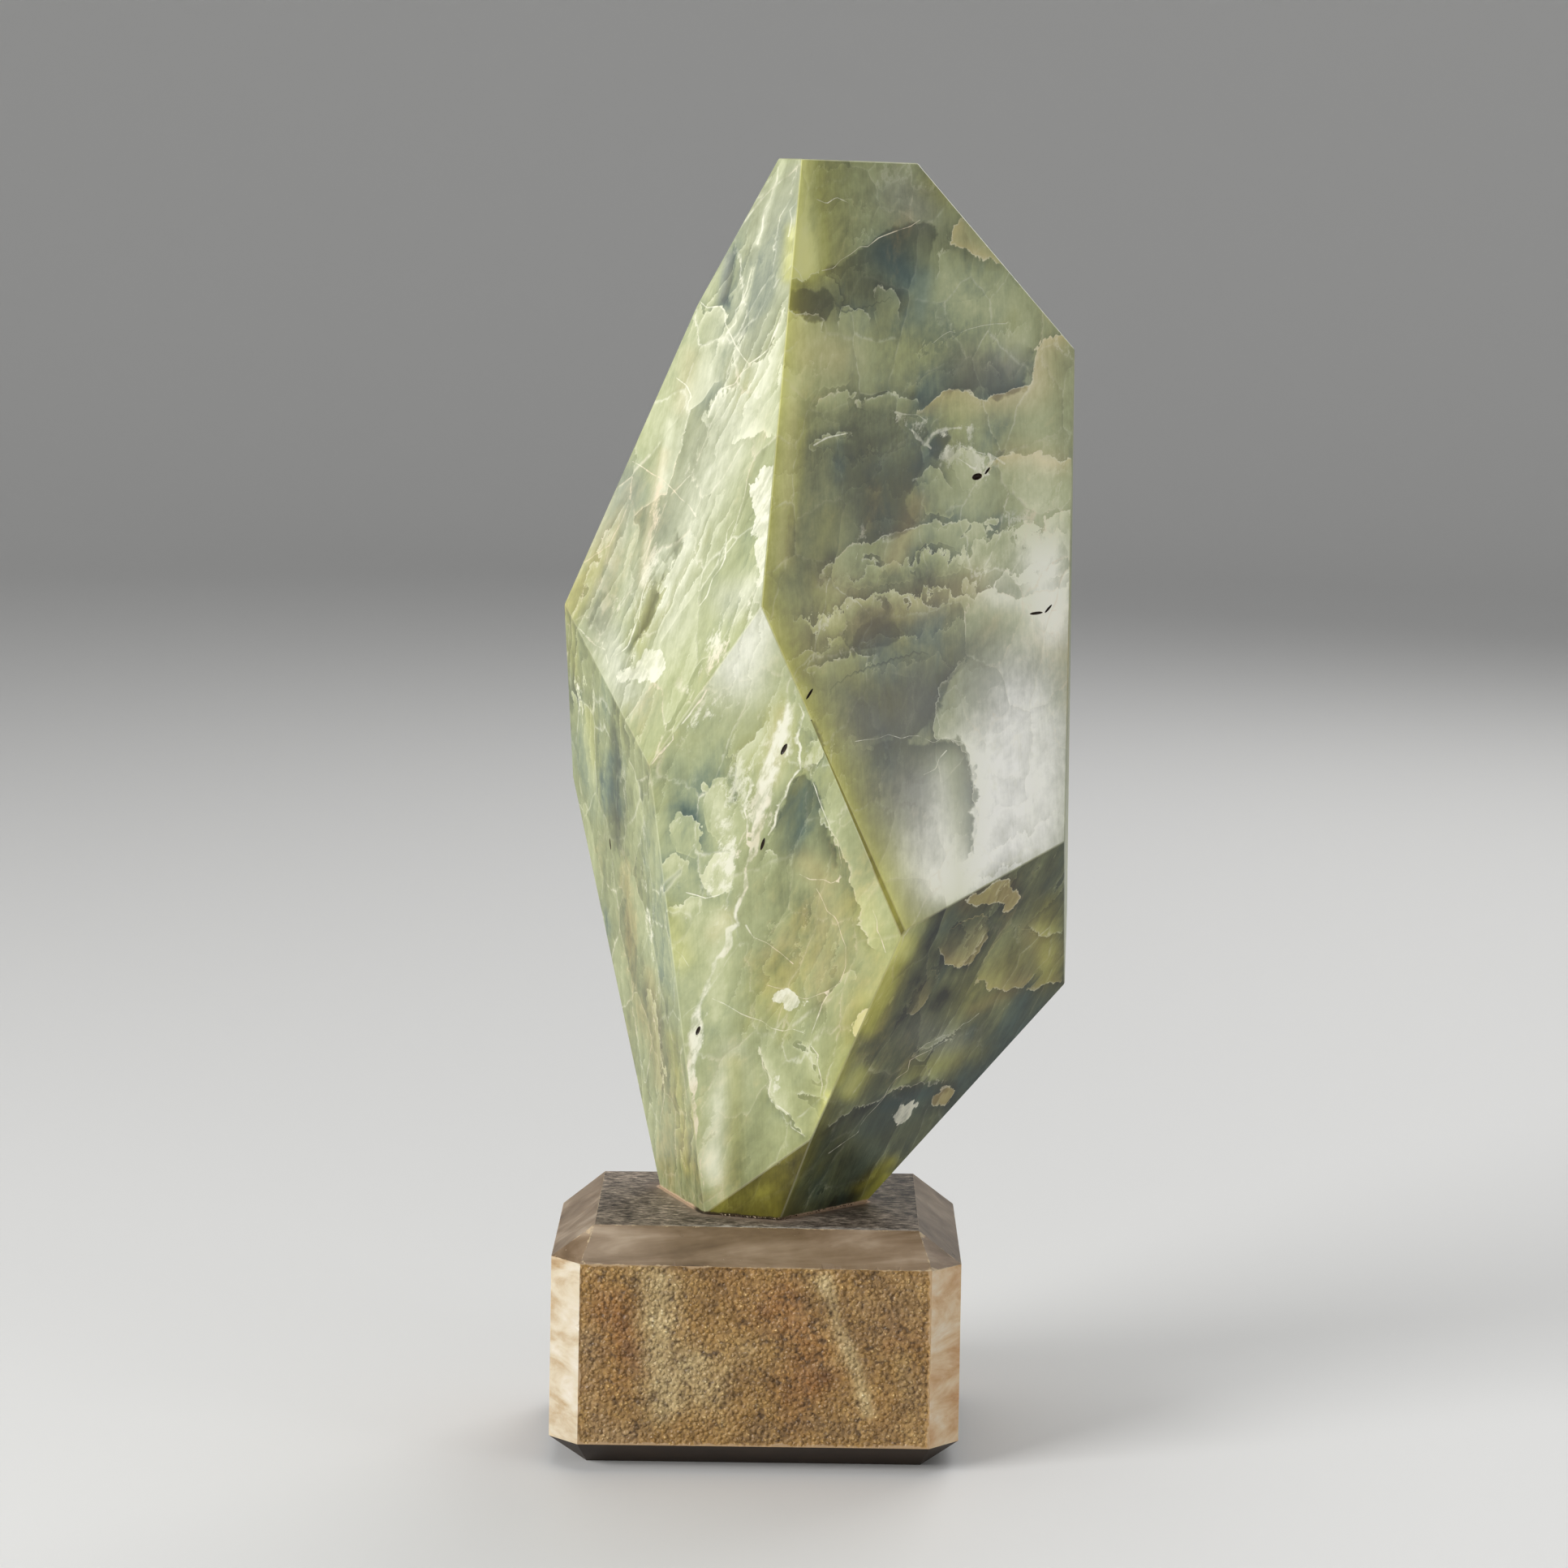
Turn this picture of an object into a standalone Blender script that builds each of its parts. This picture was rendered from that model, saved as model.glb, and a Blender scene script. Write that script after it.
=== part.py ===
"""A nephrite jade block, cut in flat facets, standing in a shallow socket in a chamfered stone base.

Units are metres, +Z is up, and the block's ridge and the base's front face point towards -Y.
The origin is the middle of the base's underside.
"""

import math
from typing import NamedTuple

import bmesh
import bpy
from mathutils import Matrix, Vector, noise

# ---- where the two stones meet ------------------------------------------------------------------
FIT_GAP = 0.0003  # clearance between the block's foot and its socket, all round and below
SOCKET_DEPTH = 0.005

# ---- stone base -----------------------------------------------------------------------------------
BASE_WIDTH = 0.150  # along X
BASE_DEPTH = 0.119  # along Y, at the middle
BASE_HEIGHT = 0.0884  # at the middle of the top
TOP_FALL = 0.00055  # the hand-cut top drops by this much from the middle to the right side
BACK_SKEW = 0.0032  # the back stands this much further back at the right side, and nearer at the left
LEFT_FLARE = 0.0006  # the left side leans out by this much at its foot
TOP_CHAMFER_IN = 0.0156
TOP_CHAMFER_DOWN = 0.0110
BOTTOM_CHAMFER_IN = 0.0138
BOTTOM_CHAMFER_UP = 0.0102
# Width of the chamfer down each upright edge, by (side of X, side of Y).
UPRIGHT_CHAMFERS = {(-1, -1): 0.0110, (1, -1): 0.0110, (1, 1): 0.0182, (-1, 1): 0.0233}

# ---- bush-hammered panels of the base ---------------------------------------------------------------
PANEL_RIM = 0.0012  # flat margin left between the chamfers and the hammered field
HAMMER_CELL = 0.0032  # spacing of the hammered dents
HAMMER_DEPTH = 0.0008  # deepest dent
HAMMER_GRAIN = 430.0  # noise cells per metre

# ---- jade block ---------------------------------------------------------------------------------------
JADE_HEART = Vector((0.0, 0.0, 0.280))  # facets are measured from here
JADE_BLANK = 0.60  # side of the rough cube that the facets are cut from
EDGE_EASE = 0.0004  # width of the eased arris between two facets
EASED_ANGLE = math.radians(4.0)  # shallower edges than this stay sharp


class Facet(NamedTuple):
    """One saw cut: the way it faces, in degrees, and its distance from the block's heart."""

    azimuth: float  # round from the front, -Y, towards +X
    tilt: float  # above the horizontal
    reach: float

    def normal(self):
        """Return the unit vector that the facet faces along."""
        turn, rise = math.radians(self.azimuth), math.radians(self.tilt)
        return Vector((math.sin(turn) * math.cos(rise), -math.cos(turn) * math.cos(rise), math.sin(rise)))


JADE_FACETS = {
    "right_front": Facet(27.4, 9.3, 0.0747),
    "left_upper": Facet(-48.8, 11.6, 0.0591),
    "front_kite": Facet(-19.5, -11.0, 0.0648),
    "right_lower": Facet(43.1, -27.2, 0.1129),
    "left_lower": Facet(-66.7, -10.0, 0.0603),
    "top": Facet(112.8, 88.7, 0.1960),
    "foot_front": Facet(-14.9, -16.6, 0.0814),
    "kite_bevel": Facet(-6.2, -5.8, 0.0735),
    "left_crown": Facet(-128.0, 31.9, 0.0840),
    "left_shoulder": Facet(-118.0, 25.3, 0.0745),
    "left_flank": Facet(-108.0, 4.7, 0.0744),
    "left_heel": Facet(-122.0, -12.8, 0.0826),
    "right_crown": Facet(116.0, 42.5, 0.1600),
    "right_side": Facet(85.5, 0.3, 0.1124),
    "right_heel": Facet(128.0, -38.1, 0.1434),
    "back_right": Facet(162.0, 9.5, 0.0558),
    "back_left": Facet(-157.0, 8.0, 0.0515),
    "back_lower": Facet(178.0, -11.0, 0.0661),
    "foot": Facet(0.0, -90.0, JADE_HEART.z - BASE_HEIGHT + SOCKET_DEPTH),
}


class Pit(NamedTuple):
    """A natural hollow in a facet, a lens with its middle on the facet's plane."""

    facet: str
    x: float
    z: float
    length: float
    width: float
    depth: float
    turn: float  # degrees that the length rises from level, seen from outside


JADE_PITS = (
    Pit("right_front", 0.0760, 0.3636, 0.0044, 0.0024, 0.0018, 14.0),
    Pit("right_front", 0.0798, 0.3656, 0.0034, 0.0009, 0.0009, 48.0),
    Pit("right_front", 0.0985, 0.3142, 0.0056, 0.0011, 0.0010, 4.0),
    Pit("right_front", 0.1030, 0.3156, 0.0044, 0.0009, 0.0009, 42.0),
    Pit("right_front", 0.0166, 0.2894, 0.0048, 0.0010, 0.0009, 52.0),
    Pit("front_kite", 0.0078, 0.2690, 0.0050, 0.0016, 0.0010, 60.0),
    Pit("front_kite", 0.0006, 0.2333, 0.0052, 0.0012, 0.0009, 70.0),
    Pit("front_kite", -0.0224, 0.1603, 0.0040, 0.0014, 0.0009, 65.0),
    Pit("left_lower", -0.0567, 0.2226, 0.0048, 0.0012, 0.0008, 80.0),
)


def new_material(name, color, roughness):
    """Return a plain stone material."""
    material = bpy.data.materials.new(name)
    material.use_nodes = True
    shader = material.node_tree.nodes["Principled BSDF"]
    shader.inputs["Base Color"].default_value = (*color, 1.0)
    shader.inputs["Roughness"].default_value = roughness
    shader.inputs["Metallic"].default_value = 0.0
    return material


def new_object(name, shape, material=None):
    """Turn a bmesh into a scene object of that name."""
    mesh = bpy.data.meshes.new(name)
    shape.to_mesh(mesh)
    shape.free()
    if material:
        mesh.materials.append(material)
    thing = bpy.data.objects.new(name, mesh)
    bpy.context.collection.objects.link(thing)
    return thing


def cut_block(facets, grow=0.0):
    """Saw a rough cube down to the given facets, each moved out by grow."""
    shape = bmesh.new()
    bmesh.ops.create_cube(shape, size=JADE_BLANK, matrix=Matrix.Translation(JADE_HEART))
    for facet in facets.values():
        normal = facet.normal()
        everything = shape.verts[:] + shape.edges[:] + shape.faces[:]
        bmesh.ops.bisect_plane(
            shape,
            geom=everything,
            dist=1e-7,
            plane_co=JADE_HEART + normal * (facet.reach + grow),
            plane_no=normal,
            clear_outer=True,
        )
        rim = [edge for edge in shape.edges if edge.is_boundary]
        bmesh.ops.holes_fill(shape, edges=rim)
    bmesh.ops.recalc_face_normals(shape, faces=shape.faces[:])
    return shape


def facet_point(facet, x, z):
    """Return the point of a facet's plane that has the given x and z."""
    normal = facet.normal()
    rise = facet.reach - normal.x * (x - JADE_HEART.x) - normal.z * (z - JADE_HEART.z)
    return Vector((x, JADE_HEART.y + rise / normal.y, z))


def pit_cutter(pits):
    """Return one object holding a lens for every pit, used only to cut them out."""
    shape = bmesh.new()
    for pit in pits:
        facet = JADE_FACETS[pit.facet]
        outward = facet.normal()
        level = Vector((0.0, 0.0, 1.0)).cross(outward).normalized()
        along = Matrix.Rotation(math.radians(pit.turn), 3, outward) @ level
        across = outward.cross(along)
        axes = Matrix((along, across, outward)).transposed().to_4x4()
        size = Matrix.Diagonal((pit.length / 2, pit.width / 2, pit.depth, 1.0))
        place = Matrix.Translation(facet_point(facet, pit.x, pit.z)) @ axes @ size
        bmesh.ops.create_icosphere(shape, subdivisions=2, radius=1.0, matrix=place)
    cutter = new_object("pit_cutter", shape)
    cutter.hide_render = True
    cutter.display_type = "WIRE"
    return cutter


def subtract(target, cutter):
    """Cut one object out of another."""
    cut = target.modifiers.new(f"less_{cutter.name}", "BOOLEAN")
    cut.operation = "DIFFERENCE"
    cut.solver = "EXACT"
    cut.object = cutter


def base_corner(side_x, side_y):
    """Return the base's six named points at one upright corner."""
    half_x = BASE_WIDTH / 2
    half_y = BASE_DEPTH / 2 + (side_x * side_y * BACK_SKEW if side_y > 0 else 0.0)
    chamfer = UPRIGHT_CHAMFERS[side_x, side_y]

    def high_point(inset_x, inset_y, height):
        x = side_x * (half_x - inset_x)
        return Vector((x, side_y * (half_y - inset_y), height - TOP_FALL * x / half_x))

    def low_point(inset_x, inset_y, height):
        flare = LEFT_FLARE if side_x < 0 else 0.0
        return Vector((side_x * (half_x + flare - inset_x), side_y * (half_y - inset_y), height))

    shoulder = BASE_HEIGHT - TOP_CHAMFER_DOWN
    return {
        "top": high_point(TOP_CHAMFER_IN, TOP_CHAMFER_IN, BASE_HEIGHT),
        "side_high": high_point(0.0, chamfer, shoulder),
        "face_high": high_point(chamfer, 0.0, shoulder),
        "side_low": low_point(0.0, chamfer, BOTTOM_CHAMFER_UP),
        "face_low": low_point(chamfer, 0.0, BOTTOM_CHAMFER_UP),
        "bottom": low_point(BOTTOM_CHAMFER_IN, BOTTOM_CHAMFER_IN, 0.0),
    }


def hammered_panel(shape, corners):
    """Fill a quad with a flat rim around a grid of dented stone.

    corners holds the panel's four vertices: low start, low end, high end, high start.
    """
    low_start, low_end, high_end, high_start = (vert.co for vert in corners)
    outward = (low_end - low_start).cross(high_start - low_start).normalized()
    width, height = (low_end - low_start).length, (high_start - low_start).length
    columns, rows = round(width / HAMMER_CELL), round(height / HAMMER_CELL)

    def place(column, row):
        across = PANEL_RIM / width + (1 - 2 * PANEL_RIM / width) * column / columns
        up = PANEL_RIM / height + (1 - 2 * PANEL_RIM / height) * row / rows
        spot = low_start.lerp(low_end, across).lerp(high_start.lerp(high_end, across), up)
        if column in (0, columns) or row in (0, rows):
            return spot
        dent = 0.5 - 0.5 * noise.noise(spot * HAMMER_GRAIN)
        return spot - outward * HAMMER_DEPTH * dent

    grid = []
    for row in range(rows + 1):
        grid.append([shape.verts.new(place(column, row)) for column in range(columns + 1)])
    for row in range(rows):
        for column in range(columns):
            below, above = grid[row], grid[row + 1]
            shape.faces.new((below[column], below[column + 1], above[column + 1], above[column]))
    left, right = [line[0] for line in grid], [line[-1] for line in grid]
    inner_sides = (grid[0], right, grid[-1][::-1], left[::-1])
    for index, inner in enumerate(inner_sides):
        outer_start, outer_end = corners[index], corners[(index + 1) % 4]
        shape.faces.new([outer_start, outer_end] + inner[::-1])


def base_shape():
    """Build the chamfered base with its four hammered sides, still without its socket."""
    shape = bmesh.new()
    round_trip = [(-1, -1), (1, -1), (1, 1), (-1, 1)]  # anticlockwise seen from above
    corners = []
    for side_x, side_y in round_trip:
        points = base_corner(side_x, side_y)
        corners.append({name: shape.verts.new(spot) for name, spot in points.items()})
    shape.faces.new([corner["top"] for corner in corners])
    shape.faces.new([corner["bottom"] for corner in reversed(corners)])
    for index, (side_x, side_y) in enumerate(round_trip):
        here, after = corners[index], corners[(index + 1) % 4]
        # Front and back sides run between face points, left and right sides between side points.
        kind = "face" if index % 2 == 0 else "side"
        low, high = f"{kind}_low", f"{kind}_high"
        shape.faces.new((here[high], after[high], after["top"], here["top"]))
        shape.faces.new((here["bottom"], after["bottom"], after[low], here[low]))
        hammered_panel(shape, (here[low], after[low], after[high], here[high]))
        start, end = ("side", "face") if side_x * side_y > 0 else ("face", "side")
        shape.faces.new((here[f"{start}_low"], here[f"{end}_low"], here[f"{end}_high"], here[f"{start}_high"]))
        shape.faces.new((here[f"{start}_high"], here[f"{end}_high"], here["top"]))
        shape.faces.new((here[f"{end}_low"], here[f"{start}_low"], here["bottom"]))
    bmesh.ops.recalc_face_normals(shape, faces=shape.faces[:])
    return shape


def build_jade():
    """Make the jade block: flat facets, eased arrises and a few natural pits."""
    nephrite = new_material("nephrite", (0.42, 0.50, 0.30), 0.22)
    jade = new_object("jade_block", cut_block(JADE_FACETS), nephrite)
    ease = jade.modifiers.new("eased_arrises", "BEVEL")
    ease.width = EDGE_EASE
    ease.segments = 1
    ease.limit_method = "ANGLE"
    ease.angle_limit = EASED_ANGLE
    subtract(jade, pit_cutter(JADE_PITS))
    return jade


def build_base():
    """Make the base and sink the socket that takes the block's foot."""
    brown_stone = new_material("brown_stone", (0.33, 0.24, 0.15), 0.65)
    base = new_object("stone_base", base_shape(), brown_stone)
    socket = new_object("socket_cutter", cut_block(JADE_FACETS, grow=FIT_GAP))
    socket.hide_render = True
    socket.display_type = "WIRE"
    subtract(base, socket)
    return base


def main():
    """Clear the scene and build both stones."""
    for thing in list(bpy.data.objects):
        bpy.data.objects.remove(thing, do_unlink=True)
    build_jade()
    build_base()


main()
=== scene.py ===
"""Dresses a faceted nephrite block and its bush-hammered stone base, and lights them in a plain pale studio.

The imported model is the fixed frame. Units are metres and +Z is up. Markings in the stone are drawn in
millimetres, as "x,z" pairs on the facet that shows them.
"""

import logging
import math
from collections.abc import Callable, Sequence
from dataclasses import dataclass, field
from enum import Enum

import bmesh
import bpy
import numpy as np
from mathutils import Matrix, Vector
from mathutils.geometry import delaunay_2d_cdt


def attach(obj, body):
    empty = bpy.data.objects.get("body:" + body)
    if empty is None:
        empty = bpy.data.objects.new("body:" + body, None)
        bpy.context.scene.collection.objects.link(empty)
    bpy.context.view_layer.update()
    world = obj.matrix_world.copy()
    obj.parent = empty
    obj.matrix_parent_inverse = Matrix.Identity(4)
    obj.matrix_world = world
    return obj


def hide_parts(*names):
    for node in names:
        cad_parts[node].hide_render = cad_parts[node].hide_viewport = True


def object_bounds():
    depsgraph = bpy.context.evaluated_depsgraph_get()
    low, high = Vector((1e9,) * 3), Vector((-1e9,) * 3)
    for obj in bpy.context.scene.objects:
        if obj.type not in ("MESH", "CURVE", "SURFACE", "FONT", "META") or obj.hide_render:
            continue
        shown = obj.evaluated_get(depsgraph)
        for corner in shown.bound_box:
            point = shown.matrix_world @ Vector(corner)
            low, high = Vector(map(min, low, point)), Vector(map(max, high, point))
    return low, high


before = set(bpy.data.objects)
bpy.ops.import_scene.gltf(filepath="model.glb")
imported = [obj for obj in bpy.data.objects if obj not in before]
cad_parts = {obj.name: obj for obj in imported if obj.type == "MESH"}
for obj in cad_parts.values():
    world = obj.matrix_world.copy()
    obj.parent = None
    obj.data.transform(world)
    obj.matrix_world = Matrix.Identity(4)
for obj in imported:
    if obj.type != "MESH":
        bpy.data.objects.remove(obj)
CAD_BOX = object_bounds()

LOG = logging.getLogger("jade_scene")
MILLIMETRES = 1000.0
ACROSS = (1.0, 0.0, 0.0)
Colour = tuple[float, float, float]
Shades = tuple[Colour, ...]


# ---- node boards --------------------------------------------------------------------------------


@dataclass(frozen=True)
class Signal:
    """What a socket of a node tree gives, ready for plain arithmetic.

    Attributes:
        board: the board that it belongs to.
        socket: the socket.
    """

    board: "Board"
    socket: bpy.types.NodeSocket

    def __add__(self, other: "Feed") -> "Signal":
        """Add a number to this."""
        return self.board.math("ADD", self, other)

    def __radd__(self, other: float) -> "Signal":
        """Add this to a number."""
        return self.board.math("ADD", other, self)

    def __sub__(self, other: "Feed") -> "Signal":
        """Take a number from this."""
        return self.board.math("SUBTRACT", self, other)

    def __rsub__(self, other: float) -> "Signal":
        """Take this from a number."""
        return self.board.math("SUBTRACT", other, self)

    def __mul__(self, other: "Feed") -> "Signal":
        """Multiply this by a number."""
        return self.board.math("MULTIPLY", self, other)

    def __truediv__(self, other: float) -> "Signal":
        """Divide this by a number."""
        return self.board.math("DIVIDE", self, other)

    def __rtruediv__(self, other: float) -> "Signal":
        """Divide a number by this."""
        return self.board.math("DIVIDE", other, self)

    def __pow__(self, power: float) -> "Signal":
        """Raise this to a power."""
        return self.board.math("POWER", self, power)

    def __abs__(self) -> "Signal":
        """Drop the sign."""
        return self.board.math("ABSOLUTE", self)


Feed = Signal | float | str | Sequence[float]


class Board:
    """Short-hand for wiring a node tree, shared by shader and geometry trees."""

    def __init__(self, tree: bpy.types.NodeTree) -> None:
        """Start wiring a tree."""
        self.tree = tree

    def node(
        self, kind: str, feeds: dict[int | str, Feed] | None = None, **settings: object
    ) -> bpy.types.Node:
        """Add a node.

        Args:
            kind: the node's type name.
            feeds: what goes into its inputs.
            **settings: properties to set on it first.

        Returns:
            The new node.
        """
        made = self.tree.nodes.new(kind)
        for name, value in settings.items():
            setattr(made, name, value)
        for name, value in (feeds or {}).items():
            self.feed(made.inputs[name], value)
        return made

    def feed(self, socket: bpy.types.NodeSocket, value: Feed) -> None:
        """Link a signal into an input, or set the input's own value.

        Args:
            socket: the input.
            value: the signal, number, text, vector or colour.
        """
        if isinstance(value, Signal):
            self.tree.links.new(value.socket, socket)
        elif socket.type == "RGBA" and len(value) == 3:
            socket.default_value = (*value, 1.0)
        else:
            socket.default_value = value

    def read(self, node: bpy.types.Node, output: int | str = 0) -> Signal:
        """Return what an output of a node gives."""
        return Signal(self, node.outputs[output])

    def math(self, operation: str, *values: Feed) -> Signal:
        """Combine numbers with one Math node."""
        return self.read(self.node("ShaderNodeMath", dict(enumerate(values)), operation=operation))

    def most(self, first: Feed, second: Feed) -> Signal:
        """Return the larger of two numbers."""
        return self.math("MAXIMUM", first, second)

    def dot(self, place: Feed, axis: Sequence[float]) -> Signal:
        """Return how far a place lies along an axis."""
        made = self.node("ShaderNodeVectorMath", {0: place, 1: axis}, operation="DOT_PRODUCT")
        return self.read(made, "Value")

    def scale(self, vector: Feed, size: Feed) -> Signal:
        """Multiply a vector or a colour by a number."""
        return self.read(self.node("ShaderNodeVectorMath", {0: vector, "Scale": size}, operation="SCALE"))

    def shift(self, place: Feed, offset: Feed, share: float) -> Signal:
        """Move a place by a share of an offset, which is a vector or a colour."""
        feeds = {0: place, 1: self.scale(offset, share)}
        return self.read(self.node("ShaderNodeVectorMath", feeds, operation="ADD"))

    def combine(self, x: Feed, y: Feed, z: Feed) -> Signal:
        """Make a vector of three numbers."""
        return self.read(self.node("ShaderNodeCombineXYZ", {0: x, 1: y, 2: z}))

    def split(self, colour: Feed) -> tuple[Signal, ...]:
        """Take a colour or a vector apart into its three numbers."""
        made = self.node("ShaderNodeSeparateColor", {0: colour})
        return tuple(self.read(made, index) for index in range(3))

    def noise(
        self,
        place: Feed,
        scale: float,
        detail: float = 3.0,
        rough: float = 0.5,
        bend: float = 0.0,
        gives: int | str = 0,
    ) -> Signal:
        """Add fractal noise.

        Args:
            place: where to read it.
            scale: its cells per metre.
            detail: how many finer layers it has.
            rough: how strong the finer layers are.
            bend: how far it distorts itself.
            gives: 0 for one number, or "Color" for three.

        Returns:
            The noise.
        """
        feeds = {"Vector": place, "Scale": scale, "Detail": detail, "Roughness": rough, "Distortion": bend}
        return self.read(self.node("ShaderNodeTexNoise", feeds, noise_dimensions="3D"), gives)

    def cells(self, place: Feed, scale: float, feature: str = "F1") -> bpy.types.Node:
        """Add a pattern of cells, so many to the metre."""
        feeds = {"Vector": place, "Scale": scale}
        return self.node("ShaderNodeTexVoronoi", feeds, voronoi_dimensions="3D", feature=feature)

    def grade(self, value: Feed, low: float, high: float, start: float = 0.0, end: float = 1.0) -> Signal:
        """Turn a number smoothly from start to end as it passes from low to high."""
        feeds = {"Value": value, "From Min": low, "From Max": high, "To Min": start, "To Max": end}
        return self.read(self.node("ShaderNodeMapRange", feeds, interpolation_type="SMOOTHSTEP"))

    def blend(self, share: Feed, first: Feed, second: Feed) -> Signal:
        """Mix two numbers: share 0 gives the first, and 1 the second."""
        feeds = {0: share, 2: first, 3: second}
        return self.read(self.node("ShaderNodeMix", feeds, data_type="FLOAT", clamp_factor=True))

    def tint(self, share: Feed, below: Feed, laid_on: Feed) -> Signal:
        """Lay a share of one colour over another."""
        feeds = {0: share, 6: below, 7: laid_on}
        return self.read(self.node("ShaderNodeMix", feeds, data_type="RGBA", clamp_factor=True), 2)

    def ramp(self, level: Feed, shades: Shades, stops: Sequence[float] = ()) -> Signal:
        """Read a colour off a ramp.

        Args:
            level: the number looked up.
            shades: the ramp's colours.
            stops: the level of each, or nothing to spread them evenly.

        Returns:
            The colour.
        """
        made = self.node("ShaderNodeValToRGB", {0: level})
        elements = made.color_ramp.elements
        while len(elements) < len(shades):
            elements.new(0.5)
        stops = stops or [index / (len(shades) - 1) for index in range(len(shades))]
        for element, stop, shade in zip(elements, stops, shades):
            element.position = stop
            element.color = (*shade, 1.0)
        return self.read(made)

    def attribute(self, name: str) -> Signal:
        """Read a number stored on the mesh."""
        return self.read(self.node("ShaderNodeAttribute", attribute_name=name), "Fac")


class Finish:
    """A material under construction."""

    def __init__(self, name: str) -> None:
        """Start a material with a bare Principled shader.

        Args:
            name: its name.
        """
        self.material = bpy.data.materials.new(name)
        self.material.use_nodes = True
        self.board = Board(self.material.node_tree)
        self.shader = self.material.node_tree.nodes["Principled BSDF"]
        self.place = self.board.read(self.board.node("ShaderNodeTexCoord"), "Object")

    def set(self, **inputs: Feed) -> None:
        """Feed the shader's inputs, named with underscores for spaces."""
        for name, value in inputs.items():
            self.board.feed(self.shader.inputs[name.replace("_", " ")], value)

    def bump(self, height: Feed, distance: float, strength: float = 1.0) -> None:
        """Roughen the surface a little.

        Args:
            height: 0 to 1 over the surface.
            distance: how much height 1 stands for, in metres.
            strength: how much of the effect shows.
        """
        feeds = {"Strength": strength, "Distance": distance, "Height": height}
        self.set(Normal=self.board.read(self.board.node("ShaderNodeBump", feeds)))


SOCKET_KINDS = {float: "NodeSocketFloat", int: "NodeSocketInt", bpy.types.Material: "NodeSocketMaterial"}


class Recipe:
    """A geometry tree with named inputs, which works on one object and leaves it a plain mesh."""

    def __init__(self, name: str, values: dict[str, float | int | bpy.types.Material]) -> None:
        """Start the tree.

        Args:
            name: the tree's name.
            values: what each named input is set to; the one called Finish is the material.
        """
        self.tree = bpy.data.node_groups.new(name, "GeometryNodeTree")
        for way in ("OUTPUT", "INPUT"):
            self.tree.interface.new_socket("Geometry", in_out=way, socket_type="NodeSocketGeometry")
        self.values = {}
        for label, value in values.items():
            kind = SOCKET_KINDS[type(value)]
            made = self.tree.interface.new_socket(label, in_out="INPUT", socket_type=kind)
            self.values[made.identifier] = value
        self.board = Board(self.tree)
        self.inputs = self.board.node("NodeGroupInput")

    def given(self, label: str) -> Signal:
        """Return a named input."""
        return self.board.read(self.inputs, label)

    def run(
        self, thing: bpy.types.Object, geometry: Signal, chosen: Signal | bool = True
    ) -> bpy.types.Object:
        """Close the tree, run it on an object and keep the result as a plain mesh.

        Args:
            thing: the object.
            geometry: what the tree makes.
            chosen: which faces get the finish.

        Returns:
            The same object, without the modifier.
        """
        board = self.board
        real = board.read(board.node("GeometryNodeRealizeInstances", {"Geometry": geometry}))
        feeds = {"Geometry": real, "Selection": chosen, "Material": self.given("Finish")}
        board.node("NodeGroupOutput", {0: board.read(board.node("GeometryNodeSetMaterial", feeds))})
        made = thing.modifiers.new(self.tree.name, "NODES")
        made.node_group = self.tree
        for identifier, value in self.values.items():
            made[identifier] = value
        graph = bpy.context.evaluated_depsgraph_get()
        changed = thing.evaluated_get(graph)
        result = bpy.data.meshes.new_from_object(changed, preserve_all_data_layers=True, depsgraph=graph)
        thing.modifiers.remove(made)
        thing.data = result
        return thing


# ---- fine meshes from flat faces ----------------------------------------------------------------------


def new_object(name: str, data: bpy.types.ID) -> bpy.types.Object:
    """Put a mesh, a light or a camera in the scene.

    Args:
        name: the new object's name.
        data: the mesh, light or camera.

    Returns:
        The object, at the origin.
    """
    made = bpy.data.objects.new(name, data)
    bpy.context.scene.collection.objects.link(made)
    return made


def new_mesh(name: str, points: np.ndarray, faces: Sequence[Sequence[int]]) -> bpy.types.Object:
    """Make a mesh and its object.

    Args:
        name: the name of both.
        points: the vertices, in metres.
        faces: the vertex numbers of each face.

    Returns:
        The object, at the origin.
    """
    mesh = bpy.data.meshes.new(name)
    mesh.from_pydata(points.tolist(), [], faces)
    return new_object(name, mesh)


@dataclass
class FineMesh:
    """Small triangles cut from flat faces.

    Attributes:
        points: the vertices, in metres.
        triangles: three vertex numbers each.
        sources: for each triangle, the number of the flat face it was cut from.
        normals: the flat faces' normals.
        centres: the flat faces' middles.
        areas: the flat faces' areas.
        widths: the flat faces' mean widths.
    """

    points: np.ndarray
    triangles: np.ndarray
    sources: np.ndarray
    normals: np.ndarray
    centres: np.ndarray
    areas: np.ndarray
    widths: np.ndarray


def edge_gaps(points: np.ndarray, corners: np.ndarray, closed: bool = True) -> np.ndarray:
    """Measure how far points lie from a line of straight runs.

    Args:
        points: (n, 2) or (n, 3) places.
        corners: the line's corners.
        closed: whether the last corner joins the first.

    Returns:
        The n distances.
    """
    nearest = np.full(len(points), np.inf)
    ends = np.roll(corners, -1, axis=0)
    runs = list(zip(corners, ends))
    for start, end in runs if closed else runs[:-1]:
        run = end - start
        share = np.clip((points - start) @ run / max(run @ run, 1e-12), 0.0, 1.0)
        gap = np.linalg.norm(points - start - share[:, None] * run, axis=1)
        nearest = np.minimum(nearest, gap)
    return nearest


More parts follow.
